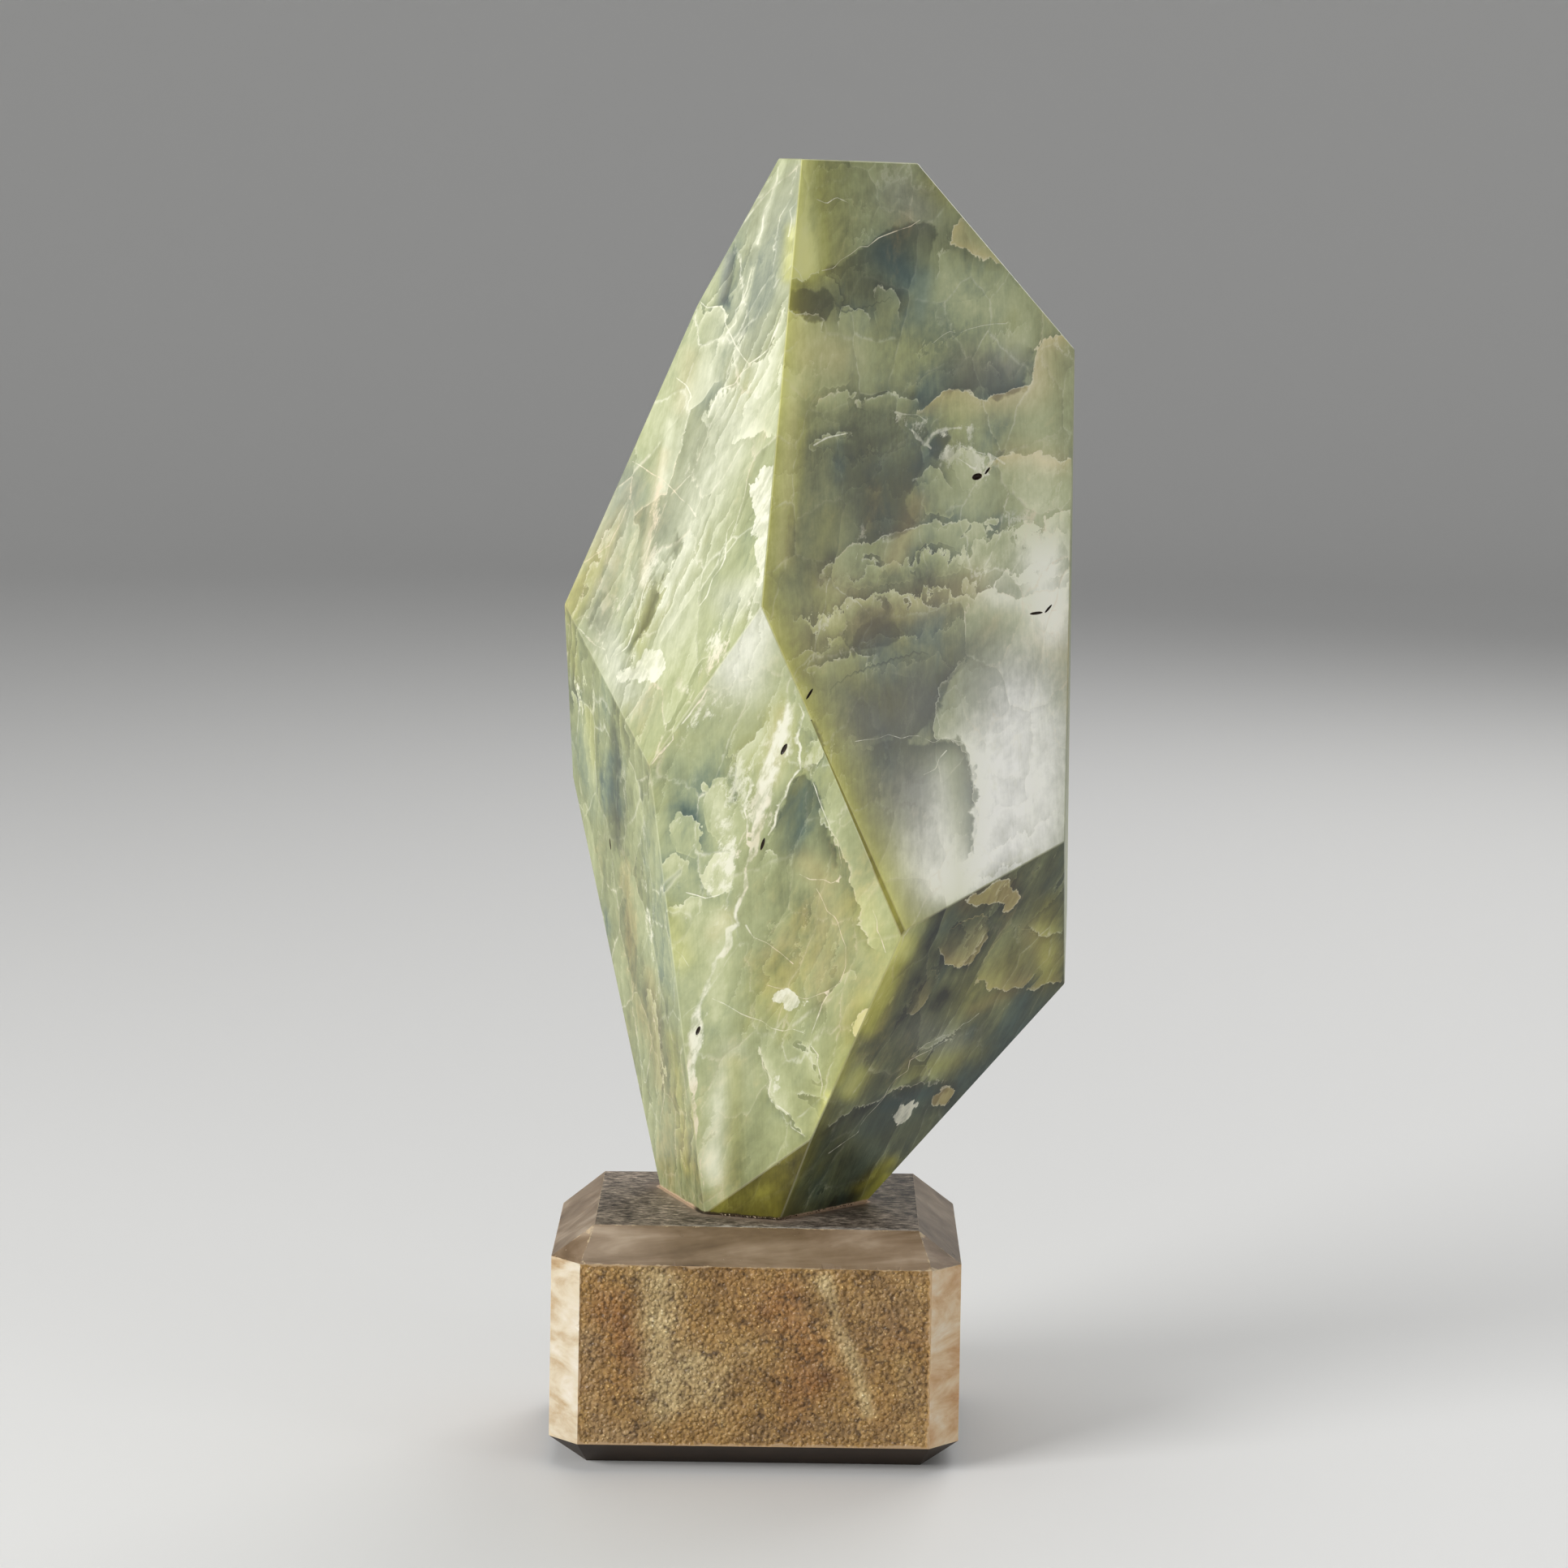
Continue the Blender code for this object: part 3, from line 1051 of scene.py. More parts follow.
FRONT_KITE_CLOUDS = (
    Patch("0,156 3,144 6,136 12,129 17,123", "24,125 31,156 19,170 6,167", 22),
    Patch("12,157 16,157 19,154 20,145", "16,143 13,150", 7),
    Patch("-33,234 -31,241 -26,244 -22,238 -21,229", "-26,225 -30,228", 12),
    Patch("-36,224 -31,226 -26,224", "-27,218 -34,218", 6),
    Patch("-33,206 -28,208 -23,210", "-22,201 -30,197", 8),
    Patch("21,251 23,242 28,232 36,209 40,194", "50,204 38,233 26,259", 18),
    Patch("-1,228 2,232 5,229", "8,213 4,206 1,218", 15),
    Patch("-10,257 -7,266 -1,274 2,285", "3,258 -2,242 -8,245", 18),
    Patch("-22,248 -21,256 -16,259 -11,258", "-10,245 -14,232 -20,238", 15),
    Patch("-20,218 -18,225 -13,229 -10,226", "-9,214 -15,211", 12),
    Patch("18,271 20,275 23,268 19,263 13,262", "13,269", 8),
    Patch("-41,225 -36,223 -31,226 -27,224", "-26,216 -36,214", 9),
    Patch("-22,221 -19,214 -14,213 -11,215", "-10,226 -17,229", 8),
    Patch("23,174 25,179 30,185 33,187", "34,162 26,158", 13),
    Patch("12,159 17,158 20,153 22,145", "26,152 19,162", 8),
    Patch("10,140 16,139 21,138 25,132", "26,139 19,145", 6),
)
FRONT_KITE_TANS = (
    Patch("34,163 36,170 41,172 40,167 37,161"),
)
FRONT_KITE_WHITES = (
    Patch("7,177 11,179 14,177 17,174 12,173 8,174"),
    Patch("5,143 6,146 8,143 7,140"),
)
FRONT_KITE_WASHES = {
    Hue.TONE: (
        Wash(0.22, 12.3, "-3,315 -10,297"),
        Wash(0.12, 7, "6,285 3,258"),
        Wash(0.1, 7, "-17,247 -14,220"),
        Wash(-0.13, 6.1, "-32,258 -26,244"),
        Wash(-0.14, 7, "12,249 14,234"),
        Wash(-0.06, 11.1, "7,209 10,191"),
        Wash(0.13, 5.8, "-16,107 -10,152"),
        Wash(0.06, 7, "36,193 31,174"),
        Wash(-0.12, 3.8, "-9,149 -8,104"),
        Wash(0.1, 4.7, "2,147 8,122"),
        Wash(0.12, 4.1, "-17,132 -16,100"),
        Wash(-0.08, 7.6, "5,218 18,207 7,191"),
        Wash(-0.13, 8.2, "32,236 30,193 22,174"),
        Wash(-0.16, 6.4, "-26,244 -17,217"),
        Wash(-0.1, 4.1, "-39,230 -36,203"),
        Wash(0.18, 4.4, "-14,202 -16,167"),
        Wash(-0.14, 4.1, "-2,260 -2,248"),
        Wash(0.15, 3.8, "26,139 24,127"),
        Wash(-0.11, 5.3, "12,157 15,132"),
        Wash(0.18, 5.3, "-19,110 -13,94"),
        Wash(-0.14, 5.3, "-11,222"),
        Wash(-0.12, 5.8, "18,213 20,195"),
        Wash(-0.05, 6.4, "13,145"),
    ),
    Hue.FLAKES: (
        Wash(0.6, 11.1, "-17,247 -14,220"),
        Wash(0.4, 8.8, "-23,268 -11,266"),
    ),
    Hue.OLIVE: (
        Wash(0.3, 8.2, "36,212 45,194"),
        Wash(0.6, 3.5, "32,153 28,140"),
        Wash(0.4, 6.4, "38,178 23,127"),
        Wash(0.35, 5.8, "-35,206 -29,188"),
        Wash(0.3, 3.8, "-9,149 -8,104"),
        Wash(0.8, 3.8, "26,139 24,127"),
        Wash(0.45, 3.8, "-8,93 20,117"),
    ),
    Hue.TEAL: (
        Wash(0.3, 7, "-32,258 -26,244"),
        Wash(0.2, 7.6, "12,249 14,234"),
    ),
    Hue.WARM: (
        Wash(0.4, 5.3, "17,227 23,221"),
        Wash(0.3, 3.5, "24,195 23,177"),
        Wash(0.25, 3.5, "-17,198 -12,205"),
        Wash(0.35, 3.5, "7,282 3,258"),
    ),
    Hue.SILVER: (
        Wash(0.55, 12.9, "-3,315 -10,297"),
        Wash(0.25, 6.4, "-16,107 -10,152"),
    ),
    Hue.MILK: (
        Wash(1.0, 4.7, "8,285 3,264 0,245"),
        Wash(0.85, 5.8, "-7,263 -11,242 -15,218"),
        Wash(0.55, 7.6, "-26,272 -16,280 -3,284"),
        Wash(0.6, 4.1, "-11,211 -15,195"),
        Wash(0.65, 3.2, "-20,179 -23,154"),
        Wash(0.55, 4.1, "13,266 21,263"),
        Wash(0.35, 5.3, "-29,256 -31,225 -27,204"),
    ),
}
FRONT_KITE_VEINS = (
    Vein(
        "9,285 7,274 5,265 2,256 -1,244 -3,232 -6,219 -8,207 -11,196 -17,185 -20,176 -22,167 -23,155 "
        "-24,144 -25,133 -23,119 -22,96",
        (2.6, 4.2, 3.4, 2.2, 1.5, 1, 0.9, 1, 1.1, 1.5, 1.9, 2.6, 2.3, 1.1, 0.8, 0.4, 0.3),
    ),
    Vein("13,286 14,276 14,264 11,256 6,247 2,236", (0.8, 0.5, 0.5, 0.4)),
    Vein("18,258 21,251 23,242 26,237 29,229 28,221", (0.2,)),
    Vein("3,180 11,179 18,175 25,180 30,187 31,197 27,208 20,218", (0.12,)),
    Vein("-17,173 -5,167 6,163 16,163", (0.25,)),
    Vein("0,156 3,144 6,136 12,129 17,123", (0.3,)),
    Vein("-40,203 -35,197 -26,185", (0.2,)),
    Vein("6,279 3,262 0,248 -3,233 -6,217", (0.5, 0.6, 0.4)),
    Vein("-5,202 2,197 12,189", (0.2,)),
    Vein("25,179 21,172 19,163", (0.25,)),
    Vein("14,223 21,221 27,221 29,223", (0.2,)),
    Vein("40,212 42,203 45,196", (0.15,)),
    Vein("-40,260 -33,270 -26,280 -20,289", (0.5,)),
    Vein("-20,113 -21,100 -20,92", (0.25,)),
    Vein("-23,141 -23,119 -25,96", (0.2,)),
    Vein("19,158 23,142 22,128", (0.2,)),
    Vein("-4,257 -7,243 -5,233", (0.25,)),
    Vein("-27,213 -20,211 -15,213", (0.2,)),
)
FRONT_KITE = Facet(
    -19.5, -11.0, 0.0648, tone=0.64, flakes=0.25, thin_beside=("right_lower",), glow=0.35,
    patches={
        Tint.LENS: FRONT_KITE_LENSES,
        Tint.CLOUD: FRONT_KITE_CLOUDS,
        Tint.TAN: FRONT_KITE_TANS,
        Tint.WHITE: FRONT_KITE_WHITES,
    },
    washes=FRONT_KITE_WASHES,
    veins=FRONT_KITE_VEINS,
)
RIGHT_LOWER_LENSES = (
    Patch(
        "30,126 37,131 47,136 56,138 67,137 70,134 66,128 65,119", "58,113 47,109 38,104 29,106 24,115", 32
    ),
)
RIGHT_LOWER_CLOUDS = (
    Patch("74,158 64,153 60,149 58,151", "64,158 73,163", 7),
    Patch("73,186 78,189 81,196 84,199", "80,205 74,200", 8),
    Patch("97,198 102,195 108,191 113,193", "111,210 103,208", 11),
    Patch("24,125 31,128 38,132 48,135 56,139 68,137", "64,145 46,146 31,138", 8),
)
RIGHT_LOWER_TANS = (
    Patch("84,198 80,190 77,185 72,187 68,188 63,194", "67,201 73,205 82,207", 13),
    Patch("102,177 98,174 91,171 83,175 79,180", "82,188 91,200 104,194", 18),
    Patch("62,175 60,169 56,167 53,168", "54,179 63,188 65,182", 13),
    Patch("114,171 107,172 98,170", "102,179 109,193 113,193", 12),
    Patch("72,213 78,216 89,219 94,213 89,207 84,211 77,209"),
    Patch("65,125 66,131 70,133 73,131 71,125"),
)
RIGHT_LOWER_WHITES = (
    Patch("50,124 52,129 56,131 58,129 56,124 52,122"),
)
RIGHT_LOWER_WASHES = {
    Hue.TONE: (
        Wash(0.08, 4.7, "48,204 36,176 28,146"),
        Wash(-0.1, 8.2, "32,113 50,116"),
        Wash(-0.18, 2.6, "64,170 67,174"),
        Wash(-0.12, 2.9, "63,172 68,175"),
        Wash(-0.08, 4.1, "65,210 59,199 63,190"),
        Wash(0.1, 6.4, "77,150 55,140"),
        Wash(0.16, 5.8, "50,199 45,183 39,167"),
        Wash(0.2, 4.1, "40,89 47,98"),
        Wash(-0.13, 3.8, "25,89 35,91 46,102"),
        Wash(0.24, 5.8, "56,206 53,196"),
        Wash(0.24, 6.4, "101,195 106,183"),
        Wash(0.28, 5.3, "37,146 33,140"),
        Wash(0.1, 7, "87,169"),
        Wash(0.14, 5.8, "38,112"),
        Wash(-0.1, 4.1, "77,145"),
        Wash(-0.08, 4.1, "76,172 54,183"),
        Wash(0.08, 5.8, "96,199 81,188"),
        Wash(0.13, 4.7, "57,209 53,196"),
        Wash(0.12, 5.3, "86,175 92,161"),
        Wash(0.1, 4.7, "36,152 34,140"),
        Wash(0.14, 6.4, "35,120 47,106"),
        Wash(-0.06, 4.7, "77,146"),
    ),
    Hue.FLAKES: (
        Wash(0.5, 17.5, "50,200 99,192"),
        Wash(0.4, 11.7, "42,171 73,151"),
    ),
    Hue.OLIVE: (
        Wash(0.85, 5.8, "48,204 36,176 28,146"),
        Wash(0.85, 3.8, "38,95 49,104"),
        Wash(0.4, 11.1, "94,186 76,172"),
        Wash(0.5, 4.7, "105,208 110,176"),
        Wash(0.45, 6.4, "80,146 58,143"),
        Wash(1.0, 7, "50,199 45,183 39,167"),
        Wash(0.6, 7.6, "105,205 107,176"),
        Wash(0.9, 4.1, "40,89 47,98"),
        Wash(0.7, 5.8, "37,146 33,140"),
    ),
    Hue.TEAL: (
        Wash(0.9, 5.3, "47,130 62,133"),
        Wash(0.5, 8.2, "42,110 38,102"),
        Wash(0.4, 8.2, "93,147 80,135"),
        Wash(0.45, 3.5, "67,204 62,202"),
        Wash(0.3, 5.8, "24,96 35,101"),
        Wash(0.6, 7.6, "41,122 62,132"),
    ),
    Hue.WARM: (
        Wash(0.5, 6.4, "101,195 106,183"),
        Wash(0.5, 4.1, "74,213 89,217"),
        Wash(0.45, 3.5, "94,173 79,166"),
    ),
    Hue.SILVER: (
        Wash(0.4, 8.8, "58,161 73,151"),
    ),
    Hue.MILK: (
        Wash(0.4, 2.9, "64,158 59,154"),
    ),
}
RIGHT_LOWER_VEINS = (
    Vein("26,114 37,122 46,135 56,148 70,155", (0.1,)),
    Vein("58,152 64,156 76,160 81,164", (0.12,)),
)
# The right lower facet faces down; its low tone is partly its dark stone, partly painted shade.
RIGHT_LOWER = Facet(
    43.1, -27.2, 0.1129, tone=0.25, flakes=0.45, thin_beside=("front_kite",), glow=0.6,
    patches={
        Tint.LENS: RIGHT_LOWER_LENSES,
        Tint.CLOUD: RIGHT_LOWER_CLOUDS,
        Tint.TAN: RIGHT_LOWER_TANS,
        Tint.WHITE: RIGHT_LOWER_WHITES,
    },
    washes=RIGHT_LOWER_WASHES,
    veins=RIGHT_LOWER_VEINS,
)
LEFT_LOWER_LENSES = (
    Patch("-56,284 -52,287 -54,275 -53,260 -54,220", "-57,218 -58,235 -57,258", 9),
)
LEFT_LOWER_CLOUDS = (
    Patch("-72,273 -71,283 -69,285 -69,274", "-70,268", 9),
    Patch("-42,166 -40,170 -38,163 -36,146 -36,130", "-38,128 -40,144", 18),
)
LEFT_LOWER_WASHES = {
    Hue.TONE: (
        Wash(0.1, 2.6, "-67,287 -64,246"),
        Wash(-0.12, 2, "-54,269 -53,234"),
        Wash(0.1, 2.3, "-47,262 -42,222"),
        Wash(-0.08, 2, "-63,266 -60,247"),
        Wash(-0.1, 3.8, "-51,209 -41,160"),
    ),
    Hue.OLIVE: (
        Wash(0.3, 2.9, "-65,272 -62,253"),
        Wash(0.35, 2.9, "-32,155 -27,103"),
    ),
    Hue.WARM: (
        Wash(0.35, 2.6, "-41,177 -37,132"),
    ),
    Hue.MILK: (
        Wash(0.5, 2.3, "-69,286 -67,265"),
        Wash(0.45, 2.3, "-44,241 -41,200 -37,145"),
    ),
}
LEFT_LOWER = Facet(
    -66.7, -10.0, 0.0603, tone=0.53, flakes=0.6,
    patches={Tint.LENS: LEFT_LOWER_LENSES, Tint.CLOUD: LEFT_LOWER_CLOUDS},
    washes=LEFT_LOWER_WASHES,
)
FOOT_FRONT_CLOUDS = (
    Patch("3,111 9,114 12,119", "17,116 8,109", 6),
)
FOOT_FRONT_WASHES = {
    Hue.TONE: (
        Wash(0.2, 6.4, "-15,93 0,99"),
        Wash(-0.1, 8.2, "17,100 23,105"),
        Wash(-0.17, 5.8, "15,110 13,93"),
        Wash(-0.06, 6.4, "0,108 2,95"),
    ),
}
FOOT_FRONT_VEINS = (
    Vein("14,96 20,107 26,115", (0.2,)),
)
FOOT_FRONT = Facet(
    -14.9, -16.6, 0.0814, tone=0.04, flakes=0.25, olive=0.9,
    patches={Tint.CLOUD: FOOT_FRONT_CLOUDS},
    washes=FOOT_FRONT_WASHES,
    veins=FOOT_FRONT_VEINS,
)
KITE_BEVEL = Facet(-6.2, -5.8, 0.0735, tone=0.12, flakes=0.0, olive=0.85)

FACETS = {
    "right_front": RIGHT_FRONT,
    "left_upper": LEFT_UPPER,
    "front_kite": FRONT_KITE,
    "right_lower": RIGHT_LOWER,
    "left_lower": LEFT_LOWER,
    "foot_front": FOOT_FRONT,
    "kite_bevel": KITE_BEVEL,
}


MELTING = 1.6  # how many times its own depth a patch takes to melt away
JAG_STEP = 4.0  # millimetres between the jags of a vein
JAG_SIZE = 0.70  # and how far they stray
GUIDE_STEP = 1.0  # millimetres between the vertices set along a vein
ON_FACET = 3e-5  # metres from a facet within which a vertex lies on it
FAR_OUTSIDE = -20.0  # what a vertex far from every patch says, in millimetres
NO_VEIN = -10.0  # and one far from every vein, in half-widths


def softened(corners: np.ndarray, closed: bool = True) -> np.ndarray:
    """Round off an outline by cutting its corners.

    Args:
        corners: the outline.
        closed: whether its last corner joins its first.

    Returns:
        The rounder outline.
    """
    following = np.roll(corners, -1, axis=0)
    cut = np.stack([0.75 * corners + 0.25 * following, 0.25 * corners + 0.75 * following], 1)
    if closed:
        return cut.reshape(-1, 2)
    return np.concatenate([corners[:1], cut[:-1].reshape(-1, 2), corners[-1:]])


def spaced(path: np.ndarray, step: float) -> np.ndarray:
    """Set points at even steps along a path.

    Args:
        path: its corners.
        step: the spacing.

    Returns:
        The points.
    """
    runs = np.linalg.norm(np.diff(path, axis=0), axis=1)
    travelled = np.concatenate([[0.0], np.cumsum(runs)])
    stations = np.linspace(0.0, travelled[-1], max(2, round(travelled[-1] / step) + 1))
    return np.stack([np.interp(stations, travelled, column) for column in path.T], 1)


# ---- finishes -------------------------------------------------------------------------------------


def open_seam(board: Board, place: Signal) -> Signal:
    """Return 1 along the front of the seam, where the gap's shadow is painted, and 0 elsewhere."""
    across = board.dot(place, ACROSS)
    return board.grade(across, -0.0245, -0.0225) * board.grade(across, 0.018, 0.006)


@dataclass(frozen=True)
class NephriteFinish:
    """Satin-polished nephrite: overlapping pale flakes in grey-green stone, with glowing olive edges.

    Attributes:
        grey_green: the stone's body, from darkest to palest.
        olive: the same where light comes through it.
        teal: the same in its bluish lenses.
        tan: the same in its weathered patches.
        silver: the same in its milky, colourless patches, and in the glare painted on the right front facet.
        white: the palest veins, and the palest of the painted highlights.
        peach: veins stained a little by iron, and the warmer painted highlights.
        pit_earth_and_seam_shadow: the earth that fills the pits, and the shadow painted in the seam's front.
        foot_edge: the ground edge where the block meets the base.
        stretch: how many times longer than wide the grain is.
        shard: shards per metre.
        lens_blur: half the width over which a dark lens begins, in millimetres.
        patch_blur: the same for the other markings.
    """

    grey_green: Shades = (
        (0.018, 0.022, 0.013),
        (0.105, 0.118, 0.056),
        (0.27, 0.295, 0.138),
        (0.435, 0.465, 0.248),
        (0.65, 0.665, 0.435),
    )
    olive: Shades = ((0.026, 0.021, 0.004), (0.17, 0.15, 0.02), (0.42, 0.4, 0.062), (0.68, 0.67, 0.2))
    teal: Shades = ((0.01, 0.022, 0.022), (0.055, 0.1, 0.092), (0.19, 0.275, 0.225), (0.42, 0.49, 0.39))
    tan: Shades = ((0.12, 0.084, 0.03), (0.32, 0.24, 0.085), (0.55, 0.45, 0.19), (0.76, 0.67, 0.41))
    silver: Shades = ((0.06, 0.064, 0.06), (0.18, 0.184, 0.165), (0.43, 0.435, 0.395), (0.96, 0.95, 0.9))
    white: Colour = (0.80, 0.79, 0.64)
    peach: Colour = (0.72, 0.62, 0.44)
    pit_earth_and_seam_shadow: Colour = (0.050, 0.032, 0.018)
    foot_edge: Colour = (0.66, 0.48, 0.33)
    stretch: float = 2.2
    shard: float = 58.0
    lens_blur: float = 0.9
    patch_blur: float = 0.2

    def build(self) -> bpy.types.Material:
        """Wire the material.

        Returns:
            The material.
        """
        finish = Finish("nephrite")
        board = finish.board
        grain, drawn = self.grain_places(board, finish.place)
        stored = {hue: board.attribute(hue.value) for hue in Hue}
        cloudy, mixing, drift = board.split(board.noise(grain, 22.0, 5.0, 0.6, gives="Color"))
        lobes = board.read(board.cells(grain, 150.0), "Distance")
        crumbs = board.noise(grain, 330.0, 3.0, 0.65)
        streaks = board.noise(drawn, 60.0, 7.0, 0.68)
        sheet = self.sheet_level(board, grain, lobes)
        shard, seam = self.shards(board, board.shift(grain, board.combine(crumbs, lobes, crumbs), 0.0035))
        crumpled = board.grade(stored[Hue.FLAKES], 0.50, 0.75)
        terraced = board.most(board.grade(mixing, 0.46, 0.60), crumpled)
        flake = board.blend(terraced, shard, self.flake_tone(board, sheet))
        brushed = self.brushed_lines(board)

        tone = stored[Hue.TONE]
        streaky = 0.10 + stored[Hue.FLAKES] * 0.60
        for part, swing in ((cloudy, 0.54), (streaks, streaky), (crumbs, 0.30), (brushed, 0.12)):
            tone = tone + (part - 0.5) * swing
        tone = tone + (flake - 0.40) * stored[Hue.FLAKES] * 0.62

        ragged = self.ragged_edge(board, finish.place, lobes, crumbs)
        torn_edge = ragged + (flake - 0.35) * crumpled * 11.0
        edges = {tint: board.attribute(f"{tint.value}_edge") + torn_edge for tint in Tint}
        holds = {tint: board.attribute(f"{tint.value}_hold") for tint in Tint}
        blurs = {tint: self.lens_blur if tint is Tint.LENS else self.patch_blur for tint in Tint}
        masks = {tint: board.grade(edges[tint], -blurs[tint], blurs[tint]) * holds[tint] for tint in Tint}
        rim_highlights = 0.0
        # Each cloud and tan patch is paler stone; a shadow is painted that fades out over about 7 mm beyond
        # its clear edge, and a thin rim just inside that edge is painted as a highlight.
        for tint in (Tint.CLOUD, Tint.TAN):
            tone = tone - board.grade(edges[tint], -7.0, 0.0) * holds[tint] * 0.13
            tone = tone + masks[tint] * 0.34
            rim_highlights = board.most(rim_highlights, board.grade(edges[tint], 0.0, 0.9, 1.0, 0.0) * masks[tint])
        tone = board.blend(masks[Tint.LENS], tone, tone * 0.48)

        colour = board.ramp(tone, self.grey_green)
        stray_teal = board.grade(drift, 0.50, 0.34) * board.grade(tone, 0.85, 0.30)
        stray_teal = stray_teal * board.grade(stored[Hue.FLAKES], 0.90, 0.55, 0.3, 1.0)
        teal = board.most(stored[Hue.TEAL], stray_teal * 0.85)
        colour = board.tint(teal, colour, board.ramp(tone, self.teal))
        stray_warm = board.grade(drift + crumbs * 0.25, 0.66, 0.82)
        warm = board.most(board.most(stray_warm * 0.45, stored[Hue.WARM]), masks[Tint.TAN] * 0.80)
        colour = board.tint(warm, colour, board.ramp(tone, self.tan))
        # milky patches, and the glare painted on the right front facet
        colour = board.tint(stored[Hue.SILVER], colour, board.ramp(tone, self.silver))
        glow = stored[Hue.OLIVE] * board.grade(cloudy, 0.25, 0.6, 0.75, 1.05)
        glow = board.most(glow, board.grade(mixing, 0.54, 0.72, 0.0, 0.40) * board.grade(tone, 0.95, 0.60))
        colour = board.tint(glow, colour, board.ramp(tone + stored[Hue.OLIVE] * 0.30, self.olive))

        milk = stored[Hue.MILK]
        mottle = board.grade(board.noise(grain, 140.0, 5.0, 0.74) + milk * 0.17, 0.60, 0.71, 0.0, 0.86)
        mottle = mottle * board.grade(milk, 0.05, 0.45) * board.grade(streaks, 0.42, 0.56, 0.45, 1.0)
        torn = board.most(board.grade(sheet, 0.0, 0.05, 0.45, 0.0) * terraced, seam)
        torn = torn * board.grade(stored[Hue.FLAKES], 0.0, 0.5, 0.1, 1.0)
        torn = torn * board.grade(tone, 0.25, 0.70, 0.12, 1.0)
        pale = board.most(torn, rim_highlights * 0.60) * board.grade(crumbs, 0.36, 0.56, 0.15, 1.0)
        vein = board.grade(board.attribute("vein") + ragged * 0.24, 0.0, 0.85)
        vein = vein * board.grade(crumbs, 0.34, 0.58, 0.30, 0.95) * board.grade(cloudy, 0.36, 0.52, 0.5, 1.0)
        white = board.most(vein, board.most(pale, mottle))
        # A pale highlight is painted along the eased edges.
        white = board.most(white, board.attribute("eased") * 0.16)
        cream = board.tint(board.grade(drift, 0.45, 0.62), self.white, self.peach)
        colour = board.tint(white, colour, cream)
        patch = board.grade(crumbs, 0.36, 0.64, 0.50, 0.96) * board.grade(streaks, 0.36, 0.52, 0.55, 1.0)
        colour = board.tint(masks[Tint.WHITE] * patch, colour, self.white)
        colour = board.tint(board.attribute("pit"), colour, self.pit_earth_and_seam_shadow)
        # The block's lowest edge, up to about a millimetre above the base, takes the ground edge's colour,
        # with a painted shadow where the seam's gap opens at the front.
        shadowed_seam = board.tint(open_seam(board, finish.place), self.foot_edge, self.pit_earth_and_seam_shadow)
        sill = board.attribute("sill") + crumbs * 1.6
        colour = board.tint(board.grade(sill, 0.95, 1.45, 0.92, 0.0), colour, shadowed_seam)

        finish.set(Base_Color=colour, Roughness=0.26 + brushed * 0.12, IOR=1.61, Specular_IOR_Level=0.36)
        finish.set(Subsurface_Weight=0.12, Subsurface_Scale=0.004, Subsurface_Radius=(0.9, 1.0, 0.6))
        finish.bump(brushed, 0.00002)
        return finish.material

    def grain_places(self, board: Board, place: Signal) -> tuple[Signal, Signal]:
        """Turn places into coordinates along the stone's grain.

        Args:
            board: the board to wire on.
            place: places on the block.

        Returns:
            Gently swirled coordinates, and the same drawn out much further for streaks.
        """
        along, across, depth = (board.dot(place, axis) for axis in (LINEATION, SIDEWAYS, SHEET_NORMAL))
        grain = board.combine(along / self.stretch, across, depth)
        swirl = board.noise(grain, 30.0, 3.0, gives="Color")
        drawn = board.combine(along / (self.stretch * 5.0), across, depth)
        return board.shift(grain, swirl, 0.010), board.shift(drawn, swirl, 0.0025)

    @staticmethod
    def sheet_level(board: Board, place: Signal, lobes: Signal) -> Signal:
        """Say how far through its sheet each place is.

        Args:
            board: the board to wire on.
            place: the grain coordinates, whose third runs across the sheets.
            lobes: rounded lobes, which scallop the sheets' broken edges.

        Returns:
            0 just under a sheet's broken edge, up to 1 at the next one.
        """
        sheets_per_metre, relief, scallops = 150.0, 2.6, 0.45
        depth = board.dot(place, (0.0, 0.0, 1.0))
        waves = board.noise(place, 90.0, 7.0, 0.64)
        return board.math("FRACT", depth * sheets_per_metre + waves * relief + lobes * scallops)

    @staticmethod
    def flake_tone(board: Board, level: Signal) -> Signal:
        """Return a flake's lightness, palest at its broken edge."""
        greys = [(grey, grey, grey) for grey in (1.0, 0.78, 0.55, 0.30, 0.05)]
        return board.ramp(level, greys, (0.0, 0.04, 0.20, 0.55, 1.0))

    @staticmethod
    def ragged_edge(board: Board, place: Signal, lobes: Signal, crumbs: Signal) -> Signal:
        """Return the wander that makes outlines ragged, in millimetres either way."""
        slow = board.noise(place, 55.0, 4.0, 0.62, 0.5)
        return (slow - 0.5) * 13.0 + (0.5 - lobes) * 3.6 + (crumbs - 0.5) * 3.5

    def shards(self, board: Board, place: Signal) -> tuple[Signal, Signal]:
        """Break the stone into long shards, each shaded from one side to the other.

        Args:
            board: the board to wire on.
            place: the grain coordinates.

        Returns:
            Each shard's lightness, and how much of a healed crack shows between shards.
        """
        cells = board.cells(place, self.shard)
        gaps = board.cells(place, self.shard, "DISTANCE_TO_EDGE")
        chance, strength, _ = board.split(board.read(cells, "Color"))
        from_heart = board.shift(place, board.read(cells, "Position"), -1.0)
        tilted = board.dot(from_heart, (0.2, 0.8 * self.shard, 0.5 * self.shard))
        line = board.grade(board.read(gaps, "Distance"), 0.0, 0.035, 1.0, 0.0)
        return chance * 0.55 + tilted * 0.55 + 0.15, line * (strength * 0.7)

    @staticmethod
    def brushed_lines(board: Board) -> Signal:
        """Return the fine sanding lines left up and down each facet."""
        sweep = board.combine(board.attribute("sweep_across"), board.attribute("sweep_up"), 0.0)
        return board.noise(sweep, 1.0, 2.0, 0.6)


